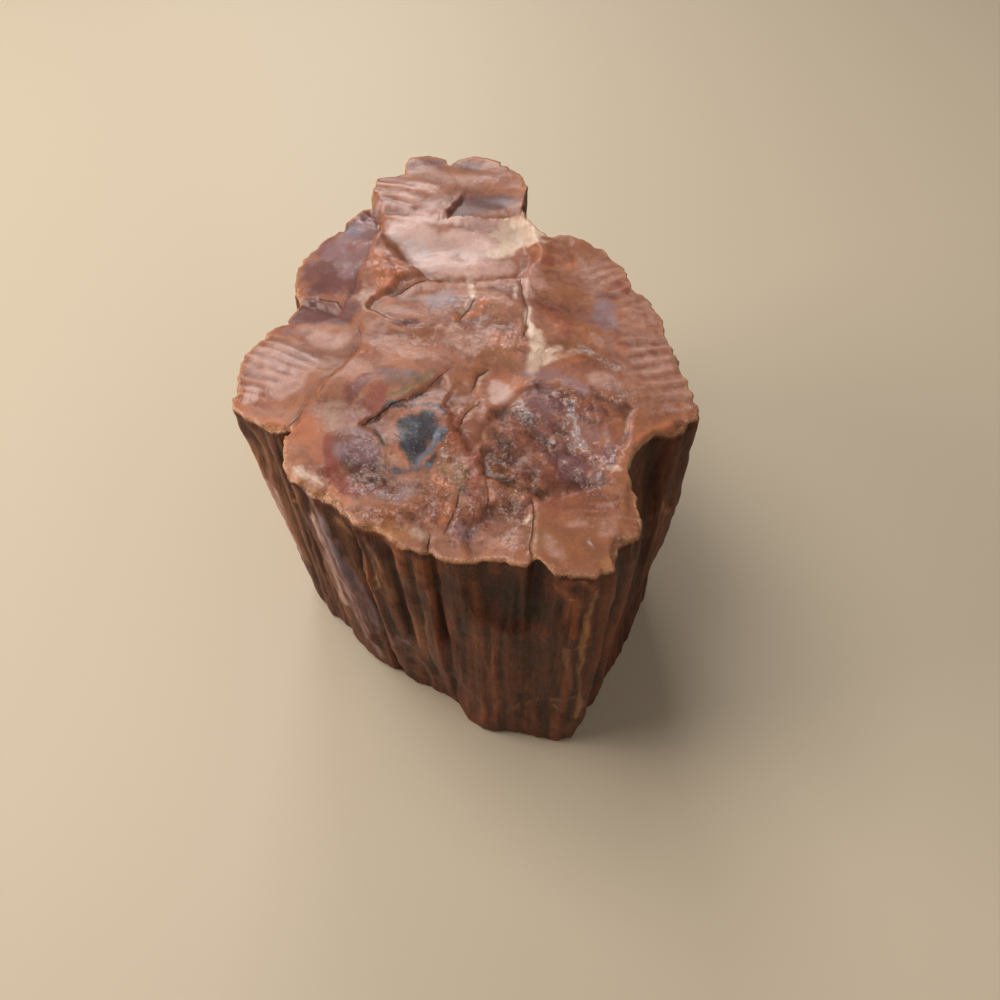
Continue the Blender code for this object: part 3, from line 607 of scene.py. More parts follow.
        (0.7, 0.9, [(-3.5, 5), (-4, 1.5)]), (0.6, 0.7, [(-13.5, 12.5), (-9.5, 12.5), (-4, 11)]),
        (0.6, 0.9, [(4.5, 9.5), (6.5, 3.5)]), (0.5, 0.5, [(21, -7.5), (24, -7), (27, -6)]),
        (0.5, 0.4, [(21.5, -11.5), (24.5, -11), (27.5, -10.5)]), (0.5, 0.4, [(23, -22), (26, -21), (28.5, -20.5)]),
        (0.5, 0.8, [(16, -6), (16.5, -7.5)]), (0.5, 1.5, [(-20, 32.5), (-17, 31)]),
        (0.4, 1.9, [(-17.5, -3.5), (-18.5, -6)]), (0.4, 1.6, [(7.5, 6.5), (5.5, 15.5)]),
        (0.4, 0.8, [(22, -16), (23, -14.5)]), (0.7, 1.4, [(-28, -28, 55), (-28, -28, 40), (-28, -28, 19.5)]),
        (0.6, 1.6, [(-36, -20, 40), (-36, -20, 17.5)]),
        (0.7, 1.1, [(-24.5, -35, 50), (-25, -34, 36), (-25.5, -32, 20)]), (0.6, 3.6, [(-34, -9.5), (-30.5, -15)]),
        (0.45, 0.6, [(10, -41.5), (12, -41.2)]), (0.5, 0.5, [(14, -38), (15.5, -38)]),
        (0.4, 1, [(14.5, -43), (15, -41)]), (0.4, 1.2, [(7.5, -44), (8.5, -46.5)]),
        (0.5, 0.6, [(-16.5, -41, 42.5), (-19, -36, 23), (-19.5, -35.5, 11.5)]), (0.8, 2.4, [(-15.5, 27), (-12, 24)]),
        (0.7, 2.2, [(-9, 15), (-3, 14), (2, 14.5)]), (0.5, 1.2, [(-24, -35, 46), (-24, -34, 28)]),
        (0.34, 7, [(20, 12), (23, -5), (24, -16)]), (0.8, 1.4, [(-15, 29.5), (-6.5, 26.5), (0, 26)]),
        (0.35, 4, [(-8, 50, 44), (-8, 50, 20)]),
    ],
    "cream": [
        (0.8, 2.4, [(3, 25.5), (7.5, 23)]), (0.75, 0.7, [(6.8, -7.7), (6.3, -11.1)]),
        (0.75, 0.7, [(9, -10.5), (8.2, -12.2)]), (0.7, 1.4, [(0.5, 24), (4, 21.5)]), (0.7, 0.8, [(5.5, 26), (7.4, 23)]),
        (0.8, 0.6, [(6, 0.5), (5.5, -3), (6.5, -6)]), (0.65, 1.2, [(6.9, -6), (7.9, -9.6), (9, -11.2)]),
        (0.6, 1.2, [(6.7, -10.5), (6.1, -13)]), (0.45, 0.9, [(10.2, -10.9), (12.6, -9.8)]),
        (0.6, 0.5, [(4, 6), (4, 3)]), (0.7, 0.7, [(8.5, -9.5), (10.5, -9)]), (0.65, 0.8, [(-25, -33), (-24, -34)]),
        (0.7, 0.5, [(-24, -34), (-22, -35.5)]), (0.6, 0.6, [(15.5, -32), (17, -33)]),
        (0.7, 0.4, [(4, -41), (5, -40.5)]), (0.6, 0.6, [(-4, 12), (-3.5, 4)]), (0.5, 0.6, [(-5, 0.5), (-4.5, 1)]),
        (0.5, 1, [(-9.5, -42.5), (-8.5, -43.5)]), (0.9, 2, [(4.9, 23.8), (3.2, 20.5)]),
        (0.8, 1.4, [(0, 18), (2.8, 19)]), (0.5, 0.9, [(5.6, 22), (9.4, 19.6)]), (0.7, 1.3, [(2.5, 22.5), (7, 20.5)]),
    ],
    "olive": [
        (0.9, 0.6, [(-14.8, -19.1), (-12.8, -17.8), (-10.5, -15.5), (-8.8, -14.2)]),
        (0.5, 1.1, [(-14.5, -15.5), (-12, -15)]), (0.5, 1.3, [(-4.5, -33), (-4, -35)]),
        (0.6, 1, [(-6.5, -32), (-7, -32.5)]), (0.4, 1.3, [(2, -34), (3, -36.5)]), (0.5, 0.6, [(4, 0.5), (5.5, -4)]),
        (0.5, 1, [(6, -43), (6.5, -45)]), (0.5, 1, [(-15.5, -27), (-15, -28.5)]),
        (0.5, 0.8, [(-7, -31.1), (-6.1, -29.4)]), (0.5, 1.1, [(-5, -30.8)]),
        (0.6, 1, [(-13, -43, 50.5), (-12, -43.5, 45)]),
    ],
    "blue": [
        (1, 2.1, [(-11.1, -24.4), (-10.6, -28.2)]), (1, 1.8, [(-9.3, -23.6), (-8.4, -25.8)]),
        (1, 0.9, [(-10.5, -28.6), (-10.7, -30.3)]),
        (0.8, 0.4, [(-14.7, -20.6), (-12.6, -20.2), (-9.9, -20), (-7.6, -21.2), (-6.6, -23.3)]),
        (0.7, 0.3, [(-16.6, -23.5), (-15.8, -26.4), (-14.5, -28.9)]),
        (0.8, 0.3, [(-17.5, -23.5), (-16, -22.5), (-14.5, -20.5), (-12, -20.5)]),
        (0.7, 0.7, [(-12.8, -32.4), (-10.5, -32), (-8.5, -31.9)]), (0.7, 0.6, [(-7.5, -29.8), (-8.5, -31.5)]),
        (0.6, 0.7, [(-11, -18.5), (-10, -18)]), (0.7, 0.3, [(-3.5, -37), (-3.5, -38.5)]),
        (0.5, 0.3, [(17.5, -23.5), (18, -24)]),
    ],
    "steel": [
        # The streak down the eye's lower right: blue-grey stone, partly a painted highlight.
        (0.75, 0.5, [(-6.6, -25.6), (-8.2, -28.6), (-9.9, -30.9)]),
        (0.4, 0.5, [(-11.8, -23.4), (-10.2, -24.4), (-10.6, -26.2)]), (0.45, 0.35, [(-12.3, -26.6), (-11.3, -28.6)]),
        (0.7, 0.4, [(-12.8, -32.4), (-10.5, -31.8), (-8.5, -31.9)]),
        (0.6, 0.3, [(-10.2, -20.4), (-8.1, -21), (-7, -22.8)]),
        (0.5, 0.3, [(-14.7, -20.8), (-12.7, -19.6), (-10.7, -18.9)]),
        (0.35, 0.6, [(-16.6, -14.5), (-13.8, -14), (-11, -14.5)]), (0.3, 0.4, [(-3.3, -35.9), (-3.7, -40)]),
        (0.3, 1, [(4.6, -21.5), (3.9, -20.5)]), (0.35, 0.9, [(11.5, -21.9), (10.8, -20.5)]),
        (0.3, 0.9, [(17.6, -26.6), (19, -26.2)]), (0.45, 1.2, [(-26.5, 29), (-25, 26)]),
        (0.26, 2.4, [(-9.5, 3.4), (-7, 4)]), (0.28, 2.6, [(18, 1.5), (18.5, -2)]),
        (0.8, 0.7, [(-22.5, -36.5, 54.5), (-22, -36.5, 49), (-21.5, -36.5, 42.5), (-21, -36, 34)]),
    ],
    "rust": [
        (0.9, 2, [(-13.5, -42, 57), (-11.5, -43.5, 55.5), (-8, -45, 54)]),
        (0.7, 1.5, [(-12, -43.5, 51.5), (-8.5, -45, 51)]),
        (0.8, 0.6, [(-17, -41, 56), (-17, -41, 46.5), (-17, -40.5, 34.5), (-18.5, -35.5, 10)]),
        (0.6, 1.5, [(-11.5, -43, 32.5), (-10.5, -43, 24)]),
        (0.9, 0.8, [(-9, -44.5, 54.5), (-8, -45, 49), (-8, -44.5, 36), (-7.5, -44, 23)]),
        (0.6, 1, [(-2.5, -46.5, 51.5), (-2, -47, 43.5), (-2.5, -47, 32)]),
        (0.8, 0.9, [(9, -48.5, 55.5), (12, -49, 55.5)]), (0.8, 1.2, [(9, -48, 52.5), (10.5, -49, 50), (11.5, -49, 42)]),
        (0.7, 0.8, [(13.5, -48, 57.5), (15, -48.5, 49), (16, -47, 37)]),
        (0.6, 1.7, [(16.5, -46.5, 48), (16.5, -46.5, 36.5)]), (0.6, 0.8, [(18, -44, 52.5), (19, -42, 36)]),
        (0.7, 1.4, [(27.5, -24.5, 40), (27.5, -24.5, 32)]),
        (0.7, 0.6, [(-36, -20, 43.5), (-36, -20, 37), (-35, -21, 28)]), (0.7, 0.9, [(13, -49.5, 9), (13, -49.5, 3.5)]),
        (0.5, 1.3, [(4.5, -48, 27), (5, -48, 20)]), (0.5, 1.6, [(0, -47.5, 22), (1, -47.5, 8)]),
        (0.6, 2.4, [(22, -28, 46), (22, -29, 30)]), (0.6, 3, [(27, -22, 40), (27, -22, 15)]),
        (0.5, 2.4, [(20, -38, 36), (20, -38, 14)]),
    ],
    # Partly the stone's own dark patches, partly painted shade down grooves below the front rim and in the hollow on
    # the right front.
    "dark_and_shade": [
        (0.6, 1.2, [(-5, -46, 55), (-4, -46.5, 45.5), (-4.5, -46, 35)]),
        (0.45, 2.4, [(2, -46.5, 50.5), (1.5, -47, 43.5)]),
        (0.5, 2.1, [(2.5, -46, 51), (6.5, -46, 48), (7.5, -48, 43.5)]),
        (0.4, 2.3, [(-0.5, -47.5, 38.5), (3, -48, 36.5)]),
        # Painted shade in the hollow on the right front: the strokes at x = 24 and 25 on the next two lines.
        (0.7, 0.4, [(5, -46.5, 55), (8, -47.5, 49.5), (8.5, -48, 45)]), (0.4, 1, [(24, -25, 47.5), (24, -25.5, 38)]),
        (0.6, 0.9, [(25, -26, 32), (25.5, -26.5, 26.5)]),
        # Painted shade down the grooves below the front rim: the strokes that start at x = -18, -9.5, -7 and 16, on the
        # next four lines.
        (0.8, 0.5, [(-18, -40.5, 54.5), (-19, -37, 40.5), (-19, -36.5, 28.5), (-19.5, -35.5, 7.5)]),
        (0.8, 0.4, [(-9.5, -44.5, 52), (-8.5, -45, 42.5), (-8.5, -44.5, 28.5)]),
        (0.9, 0.5, [(-7, -45, 56.5), (-7, -44.5, 52)]), (0.4, 2, [(8.5, -48.5, 25), (10.5, -49, 13.5)]),
        (0.6, 0.7, [(16, -45, 56.5), (17.5, -45, 48), (18, -44, 35.5)]),
        (0.7, 1.1, [(18.5, -43.5, 13), (17.5, -44.5, 22)]), (0.6, 0.4, [(5.9, -15.4), (6.9, -17.4)]),
        (0.5, 0.7, [(8, -28), (6, -29.5)]), (0.5, 0.8, [(18.6, -26.7), (18.1, -27.6)]),
        (0.4, 2.4, [(-5, 32), (0.5, 33.5)]),
    ],
    "moss": [
        (0.7, 2.7, [(2, -46.5, 48), (6, -47, 44)]), (0.5, 1.8, [(5.5, -47.5, 35.5), (6.5, -47.5, 30.5)]),
        (0.7, 1.1, [(-30.5, -23.5, 53), (-30, -24, 48.5)]), (0.5, 2.1, [(-36, -20, 19), (-34.5, -21.5, 12)]),
        (0.5, 1.1, [(-0.4, -25.3), (2.1, -28.5)]), (0.5, 0.9, [(3, -34.2), (1.7, -35.9)]),
        (0.5, 0.8, [(8.4, -27.2), (6.2, -29)]),
    ],
    "buff": [
        (0.7, 0.4, [(-15.5, -42, 56), (-13.5, -42.5, 54), (-9.5, -44.5, 55)]),
        (0.6, 0.3, [(-6, -46, 54), (-5, -46, 56.5), (-3, -46.5, 57)]), (0.9, 0.4, [(-16, -42, 52.5), (-16, -41.5, 43)]),
        (0.7, 0.7, [(-31.5, -23.5, 41.5), (-31, -24, 41.5)]),
        # Painted highlight: a light line down the right edge of the front column.
        (0.75, 0.5, [(12.8, -49, 54), (13.2, -49, 45), (13.5, -49, 33.5), (13.5, -49, 23.5), (14, -49, 11.5)]),
        (0.5, 0.3, [(8, -48.5, 37), (13, -49, 38)]), (0.8, 0.3, [(10, -48.5, 50.5), (12.5, -49, 51.5)]),
        (0.9, 0.4, [(11, -49, 56), (12.5, -48.5, 56.5)]), (0.5, 1, [(10, -49, 19.5), (13, -49, 20.5)]),
        (0.5, 0.6, [(10, -49, 15.5), (12, -49.5, 14)]), (0.5, 1, [(26, -25, 42), (28.5, -23.5, 36.5)]),
        (0.5, 0.6, [(-26, -33), (-23, -36)]), (0.5, 0.7, [(-15, -42.3), (-10, -44)]),
        (0.7, 0.8, [(-20, -37.5, 54), (-19, -37.5, 50.5)]), (0.5, 0.7, [(13, -49), (16, -45), (17, -43)]),
        (0.5, 0.9, [(-13, -42), (-10.5, -43)]),
    ],
    # Where the stone glitters: painted glints go here, and the surface is glossier and more broken.
    "glitter": [
        (1, 1.7, [(13.5, -28.5), (16, -30)]), (1, 1.3, [(4, -21.5), (5.5, -23.5)]),
        (1, 1, [(11.2, -20), (10.2, -25.3)]), (1, 1.4, [(14, -10.5), (16, -11), (18.5, -12.5)]),
        (0.8, 1.6, [(10, -19.5), (11.5, -22.5)]), (0.6, 2, [(-18.5, -30), (-17, -31)]),
        (1, 1.4, [(-14.5, -40.5), (-13, -40.5)]), (0.5, 1.5, [(-17, -36.5), (-14, -36)]),
        (1, 0.6, [(12, -45), (12.5, -45.5)]), (0.7, 1, [(14, -38.5), (15.5, -37.5)]),
        (0.7, 1.3, [(1.5, -39), (4, -41)]), (0.9, 1.1, [(-7, -34), (-6, -35.5)]), (0.9, 0.4, [(-2.5, -43)]),
        (0.6, 1.2, [(2, -43.5), (3.5, -45.5)]), (0.6, 1.6, [(17.5, -18.5), (20, -19.5)]),
        (0.7, 1, [(-6.5, -27), (-6, -30.5)]), (0.6, 2.3, [(-7, -38), (-4, -41)]),
    ],
    # Painted sheen: soft whitish patches of reflection on the granular floor, in the pale scoop and in the eye.
    "painted_sheen": [
        (0.9, 0.9, [(4, -20.5), (4.9, -23.8)]), (0.7, 0.6, [(5.6, -22.7), (6, -24.6)]),
        (0.8, 0.7, [(11.1, -22.2), (11.9, -26.7), (13.3, -28.5)]), (1, 0.4, [(8.4, -27), (8.7, -27.3)]),
        (0.8, 0.9, [(13.9, -9.1), (16.3, -10.5), (18.3, -12.7)]), (0.7, 0.4, [(14, -35.3), (14, -33)]),
        (0.9, 0.4, [(12.1, -44), (12.6, -44.6)]), (0.7, 0.4, [(-2.7, -42), (-2, -42)]),
        (0.5, 0.8, [(19.4, -18), (17.4, -20.5)]), (0.5, 0.5, [(15.6, -24.4), (16, -28.5)]),
        (0.5, 1, [(-19.1, -29.4), (-17.4, -27.3)]), (0.45, 0.7, [(-15.5, -39.4), (-13.3, -36.3)]),
        (0.5, 0.5, [(-17.1, -35.9), (-14.6, -35.1)]), (0.5, 0.5, [(-11.1, -40.5), (-9.1, -42.7)]),
        (0.8, 1.8, [(-14, 22), (-12, 18.5)]), (0.6, 1.2, [(-7, 17.5), (-5, 18)]),
        (0.7, 0.3, [(-7, -25.8), (-8.3, -28.2)]),
    ],
    "granular": [
        (1, 4.1, [(1.5, -31), (4, -35)]), (0.9, 2.3, [(2, -23), (5, -24)]), (0.9, 3.3, [(10.5, -32), (13, -33)]),
        (0.9, 2.4, [(11, -20.5), (14.5, -22)]), (0.8, 2.8, [(-17.5, -30), (-15, -34.5)]),
        (0.8, 1.9, [(-10.5, -40.5), (-7.5, -40)]), (0.8, 2.4, [(-2.5, -33), (-1.5, -39.5)]),
        (0.8, 2, [(-5, -39.5), (-3.5, -42.5)]), (0.6, 2.4, [(17, -19), (18, -21.5)]), (0.9, 3, [(8, -26), (9, -29)]),
        (0.7, 2.6, [(-18, 13), (-17, 8)]), (0.45, 4, [(-4, 1), (1, -6)]), (0.4, 2.4, [(2, 6), (10, 1)]),
        (0.35, 3, [(-19, -8), (-12, -6)]), (0.5, 1.6, [(6, -10), (11, -9)]),
        (0.5, 1.4, [(-25, -32), (-21, -35.5), (-15, -41)]), (0.5, 2, [(-8, -33), (-7, -37)]),
        (0.5, 1.8, [(-5.5, -22), (-4.5, -31)]),
    ],
    "polished": [
        (1, 3.8, [(9, -43.5), (14, -42)]), (1, 2.3, [(-25, -29), (-23, -30)]), (0.9, 2, [(-30, 5.5), (-27.5, 4)]),
        (0.9, 2.7, [(-4.5, 33), (0, 34)]), (0.7, 2.4, [(21, -16), (25, -18.5)]),
    ],
}


def stroked(place, strokes):
    """The strongest of a colour's strokes at each place: strength times an S-curve across the stroke's edge."""
    value = np.zeros(len(place))
    for strength, half_width, path in strokes:
        points = [p if len(p) == 3 else (*p, TOP_HEIGHT) for p in path]
        points = [(x, y, TOP_HEIGHT - z) for x, y, z in points]
        reach = 0.8 * half_width + 0.5
        value = np.maximum(value, strength * smooth((half_width - distance_to_path(place, points)) / reach + 0.5))
    return value


print(sum(len(s) for s in STROKES.values()), "strokes of", len(STROKES), "colours")

# %% [markdown]
# ## One closed skin
#
# The side is a stack of rings. The end is a square grid: each square ring of the grid is a copy of the rim, drawn
# smaller, so the outermost one can share its corners with the side. A fan of long triangles would be simpler, but its
# middle would be too fine and its edge too coarse for the relief. The flat foot needs no such detail, so a coarser grid
# closes it, and a ribbon of triangles joins four fine edges to each coarse one.

# %% Rings up the side
QUARTER = 176
ROWS = 88
FOOT_QUARTER = QUARTER // 4
RIM_ROWS = 8
NOTCH_BLUR = 10
FOOT_BLUR = 2
FOOT_HOLLOW = 0.35

# Painted shadow under the front rim, where the top overhangs: depth below the rim, how far it wanders, half width.
RIM_SHADOW = (1.2, 0.7, 0.5)

# How far a place has to stand out from the ones round it to count as high.
SIDE_HIGH = 0.2
END_HIGH = 0.1
HIGH_CELLS = 4


def averaged(ring, cells):
    """Every point of a closed ring replaced by the average of its neighbours on both sides."""
    return np.mean([np.roll(ring, step, axis=0) for step in range(-cells, cells + 1)], axis=0)


def outward(ring):
    """Unit normals of an anticlockwise ring: the direction of travel, turned a quarter to the right."""
    run = np.roll(ring, -1, axis=0) - np.roll(ring, 1, axis=0)
    normal = np.stack([run[:, 1], -run[:, 0]], axis=1)
    return normal / np.linalg.norm(normal, axis=1, keepdims=True)


angle, girth = even_angles(RIM, 4 * QUARTER)
along = np.arange(4 * QUARTER) * girth / (4 * QUARTER)
ray = np.stack([np.cos(angle), np.sin(angle)], axis=1)
rim = averaged(ray * radius_at(RIM, angle)[:, None], 1)
foot = averaged(ray * radius_at(FOOT, angle)[:, None], 1)
normal = outward(averaged(rim, 5))



def ring_noise(cells, seed):
    """Random values that run once round the rim, in a whole number of cells."""
    return lattice(along / girth * cells, along * 0.0, seed, cells)


flat_rim = np.column_stack([rim, np.zeros(len(rim))])
rim_granular = stroked(flat_rim, STROKES["granular"])
rim_polished = stroked(flat_rim, STROKES["polished"])
rim_noise = ring_noise(70, 401) + 0.5 * ring_noise(190, 402)
wear = RIM_WEAR + RIM_CHIPPING * np.clip(rim_noise - 0.25, 0.0, None)
rim_z, *rim_marks = end_height(rim[:, 0], rim[:, 1], rim_granular, rim_polished)
rim_z = rim_z - wear

coarse_rows = np.linspace(0.0, 1.0, ROWS - RIM_ROWS + 1)
last = 1.0 - coarse_rows[-2]
rows = np.concatenate([coarse_rows[:-1], 1.0 - last * np.linspace(1.0, 0.0, RIM_ROWS + 2)[1:] ** 1.6])
rise = rows[:, None]
z = rise * rim_z
relief, side_painted_shade, side_tone = side_relief(rim, along, girth, z, rim_z, wear)
side_xy = foot * (1.0 - rise[:, :, None]) + rim * rise[:, :, None] + normal * relief[:, :, None]
side = np.concatenate([side_xy, z[:, :, None]], axis=2)
side_depth = rim_z - z
rim_shadow_depth = RIM_SHADOW[0] + RIM_SHADOW[1] * ring_noise(44, 411)
faces_front = smooth(-1.6 * normal[:, 1])
# A painted shadow under the front rim, only on faces that look towards the front.
rim_shadow = np.exp(-(((side_depth - rim_shadow_depth) / RIM_SHADOW[2]) ** 2)) * faces_front
# How far each place stands out from those round it; the finish paints a highlight on high places and shade on low ones.
side_high = (relief - averaged(relief.T, HIGH_CELLS).T) / SIDE_HIGH
print("side", side.shape, "girth", round(girth, 1), "mm, cells of", round(girth / len(along), 2), "mm")

# %% [markdown]
# The square grid needs the same few lines for the broken end and for the foot, so they are one function. It returns the
# places, the number of the ring point that each outer corner shares, and how far each corner lies inside the ring.

# %% Grids that close the ends


def square_grid(ring, n, blur):
    """Place (i, j) of an n by n grid: size times the point of the ring in its direction, where size is how far the
    place is from the middle, from 0 to 1, and the ring is blurred towards the middle."""
    i, j = np.meshgrid(np.arange(n + 1), np.arange(n + 1), indexing="ij")
    u, v = 2.0 * i / n - 1.0, 2.0 * j / n - 1.0
    size = np.maximum(np.abs(u), np.abs(v))
    a, b = u / np.where(size > 0, size, 1.0), v / np.where(size > 0, size, 1.0)
    sides = [(a + 1) / 2, 1 + (b + 1) / 2, 2 + (1 - a) / 2]
    place = n * np.select([b <= -1.0, a >= 1.0, b >= 1.0], sides, 3 + (1 - b) / 2)
    before = np.floor(place + 1e-9).astype(int) % (4 * n)
    after = (before + 1) % (4 * n)
    part = (place % 1.0)[:, :, None]
    crisp = ring[before] * (1.0 - part) + ring[after] * part
    soft = averaged(ring, blur)
    soft = soft[before] * (1.0 - part) + soft[after] * part
    size = size[:, :, None]
    xy = size * (soft + (crisp - soft) * size**8)
    facing = outward(averaged(ring, blur))[before]
    inset = (1.0 - size[:, :, 0]) * np.abs(np.sum(soft * facing, axis=2))
    return xy, before, inset, size[:, :, 0] == 1.0


end_xy, end_ring, end_inset, end_on_rim = square_grid(side[-1, :, :2], QUARTER, NOTCH_BLUR)
end_flat = end_xy.reshape(-1, 2)
end_place = np.column_stack([end_flat, np.zeros(len(end_flat))])
end_granular = stroked(end_place, STROKES["granular"])
end_polished = stroked(end_place, STROKES["polished"])
end_z, *end_marks = end_height(end_flat[:, 0], end_flat[:, 1], end_granular, end_polished)
worn = wear[end_ring.ravel()] * smooth(1.0 - end_inset.ravel() / (0.3 + 1.6 * wear[end_ring.ravel()]))
end_z = end_z - worn
padded = np.pad(end_z.reshape(QUARTER + 1, QUARTER + 1), HIGH_CELLS, mode="edge")
end_high = padded - averaged(averaged(padded, HIGH_CELLS).T, HIGH_CELLS).T
end_high = end_high[HIGH_CELLS:-HIGH_CELLS, HIGH_CELLS:-HIGH_CELLS].ravel() / END_HIGH
foot_xy, foot_ring, foot_inset, foot_on_rim = square_grid(side[0, ::4, :2], FOOT_QUARTER, FOOT_BLUR)
foot_z = FOOT_HOLLOW * smooth(foot_inset / 5.0) * (1.0 + rough(foot_xy[:, :, 0], foot_xy[:, :, 1], 6.0, 501))
print("end", end_xy.shape, "foot", foot_xy.shape)

# %% [markdown]
# All the corners go into one list: the rings first, then the inner corners of the two grids. Outer corners of a grid
# point back at the ring, so no seam is left to weld. The quads are then index arithmetic on whole arrays.

# %% Build the mesh
around = 4 * QUARTER
ring_ids = np.arange(len(rows) * around).reshape(len(rows), around)
points = [side.reshape(-1, 3)]
next_id = ring_ids.size


def grid_ids(on_rim, ring_point, edge_ids):
    """Numbers of a grid's corners: shared ones from the ring, new ones for the rest."""
    ids = np.empty(on_rim.shape, int)
    ids[on_rim] = edge_ids[ring_point[on_rim]]
    ids[~on_rim] = next_id + np.arange((~on_rim).sum())
    return ids


def quads_of(ids):
    """The four corners of every cell of a grid of numbers."""
    return np.stack([ids[:-1, :-1], ids[1:, :-1], ids[1:, 1:], ids[:-1, 1:]], axis=-1).reshape(-1, 4)


end_ids = grid_ids(end_on_rim, end_ring, ring_ids[-1])
inner = ~end_on_rim.ravel()
points.append(np.column_stack([end_flat, end_z])[inner])
next_id += inner.sum()
foot_ids = grid_ids(foot_on_rim, foot_ring, ring_ids[0, ::4])
foot_inner = ~foot_on_rim.ravel()
points.append(np.column_stack([foot_xy.reshape(-1, 2), foot_z.ravel()])[foot_inner])
next_id += foot_inner.sum()
raw = np.concatenate(points)

wrapped = np.concatenate([ring_ids, ring_ids[:, :1]], axis=1)
side_quads = np.stack([wrapped[:-1, :-1], wrapped[:-1, 1:], wrapped[1:, 1:], wrapped[1:, :-1]], axis=-1).reshape(-1, 4)
quads = np.concatenate([side_quads, quads_of(end_ids), quads_of(foot_ids)[:, ::-1]])
fine_edge = np.concatenate([ring_ids[0], ring_ids[0, :1]])
coarse_edge = fine_edge[::4]
before, after = coarse_edge[:-1], coarse_edge[1:]
first, second, third = fine_edge[1::4], fine_edge[2::4], fine_edge[3::4]
fans = [(before, second, first), (before, after, second), (after, third, second)]
ribbon = np.concatenate([np.stack(fan, axis=1) for fan in fans])
mesh = bpy.data.meshes.new("stone_skin")
mesh.from_pydata((raw - MIDDLE) * MM, [], quads.tolist() + ribbon.tolist())
mesh.validate()
mesh.shade_smooth()
stone = bpy.data.objects.new("stone_skin", mesh)
bpy.context.scene.collection.objects.link(stone)
triangles = 2 * len(quads) + len(ribbon)
print(len(raw), "corners,", triangles, "triangles")

# %% [markdown]
# ## Values for the finish
#
# The finish has to know which corners are on the side, which are near the worn rim, which are in a groove or a crack,
# which get painted shade in a deep groove or under the front rim, and which stand higher or lower than the ones round
# them, so that the high ones get a painted highlight and the low ones painted shade. These, the tones of the laths and
# the colours are stored on the mesh under plain names. The strokes are measured from a place that noise has moved, so
# their borders are as irregular as the real ones.

# %% Store the values
SIDE_BORDER = 0.8
RIM_WIDTH = 0.55
# How strong the painted shadow under the front rim is.
RIM_SHADOW_STRENGTH = 0.65


def everywhere(on_rings, on_end, on_foot):
    """One value for every corner, in the order of the mesh: the rings, then the inside of the end and of the foot."""
    on_end = np.broadcast_to(on_end, inner.shape)
    return np.concatenate([on_rings.ravel(), on_end[inner], np.full(foot_inner.sum(), on_foot)])


def on_top(rim_value, end_value, elsewhere):
    """A value for every corner that is only known on the broken end and along its rim."""
    on_rings = np.full(side_depth.shape, elsewhere)
    on_rings[-1] = rim_value
    return everywhere(on_rings, end_value, elsewhere)


depth = everywhere(side_depth, 0.0, TOP_HEIGHT)
on_side = everywhere(smooth(side_depth / SIDE_BORDER), 0.0, 1.0)
rim_inset = everywhere(side_depth, end_inset.ravel(), TOP_HEIGHT)

u, v = raw[:, 0] + 0.3 * raw[:, 2], raw[:, 1] - 0.2 * raw[:, 2]
shift = np.stack([rough(u, v, 3.2, seed) + 0.45 * rough(u, v, 0.9, seed + 5) for seed in (601, 621, 641)], axis=1)
level_shift = 0.7 + 0.2 * on_side
stroke_place = np.column_stack([raw[:, :2], depth]) + shift * np.column_stack([level_shift, level_shift, on_side])

values = {name: stroked(stroke_place, strokes) for name, strokes in STROKES.items()}
values["side"] = on_side
values["rim"] = np.exp(-((rim_inset / RIM_WIDTH) ** 2))
# Painted shade: in the deep grooves and, as a painted shadow, under the front rim.
values["painted_shade"] = everywhere(np.maximum(side_painted_shade, RIM_SHADOW_STRENGTH * rim_shadow), 0.0, 0.0)
values["lath_tone"] = everywhere(side_tone, 0.0, 0.0)
values["high"] = np.clip(everywhere(side_high, end_high, 0.0), -1.0, 1.0)
marks = zip(("crack_place", "crack_near", "ribs"), rim_marks, end_marks, (FAR_ACROSS, 0.0, 0.0))
for name, rim_part, end_part, elsewhere in marks:
    values[name] = on_top(rim_part, end_part, elsewhere)
for name, value in values.items():
    mesh.attributes.new(name, "FLOAT", "POINT").data.foreach_set("value", value.astype(np.float32))
print("stored", ", ".join(values))

# %% [markdown]
# ## A small language for finishes
#
# A finish is a tree of nodes. Written out one node at a time it hides the idea, so a wire between two nodes is wrapped
# in a class that knows arithmetic: adding two wires adds a Math node. Any other node comes from one method.

# %% Wires and finishes


class Wire:
    """The output of a node. Arithmetic on it, in either order, adds a Math node."""

    def __init__(self, finish, socket):
        self.finish = finish
        self.socket = socket

    def maths(self, operation, *operands):
        return self.finish.add("ShaderNodeMath", {"operation": operation}, dict(enumerate(operands)))

    def __add__(self, other):
        return self.maths("ADD", self, other)

    def __radd__(self, other):
        return self.maths("ADD", other, self)

    def __sub__(self, other):
        return self.maths("SUBTRACT", self, other)

    def __rsub__(self, other):
        return self.maths("SUBTRACT", other, self)

    def __mul__(self, other):
        return self.maths("MULTIPLY", self, other)

    def __rmul__(self, other):
        return self.maths("MULTIPLY", other, self)

    def size(self):
        """The value without its sign."""
        return self.maths("ABSOLUTE", self)

    def ramp(self, low, high):
        """0 below low, 1 above high and an S-curve between. low may be above high."""
        settings = {"interpolation_type": "SMOOTHSTEP"}
        return self.finish.add("ShaderNodeMapRange", settings, {"Value": self, "From Min": low, "From Max": high})


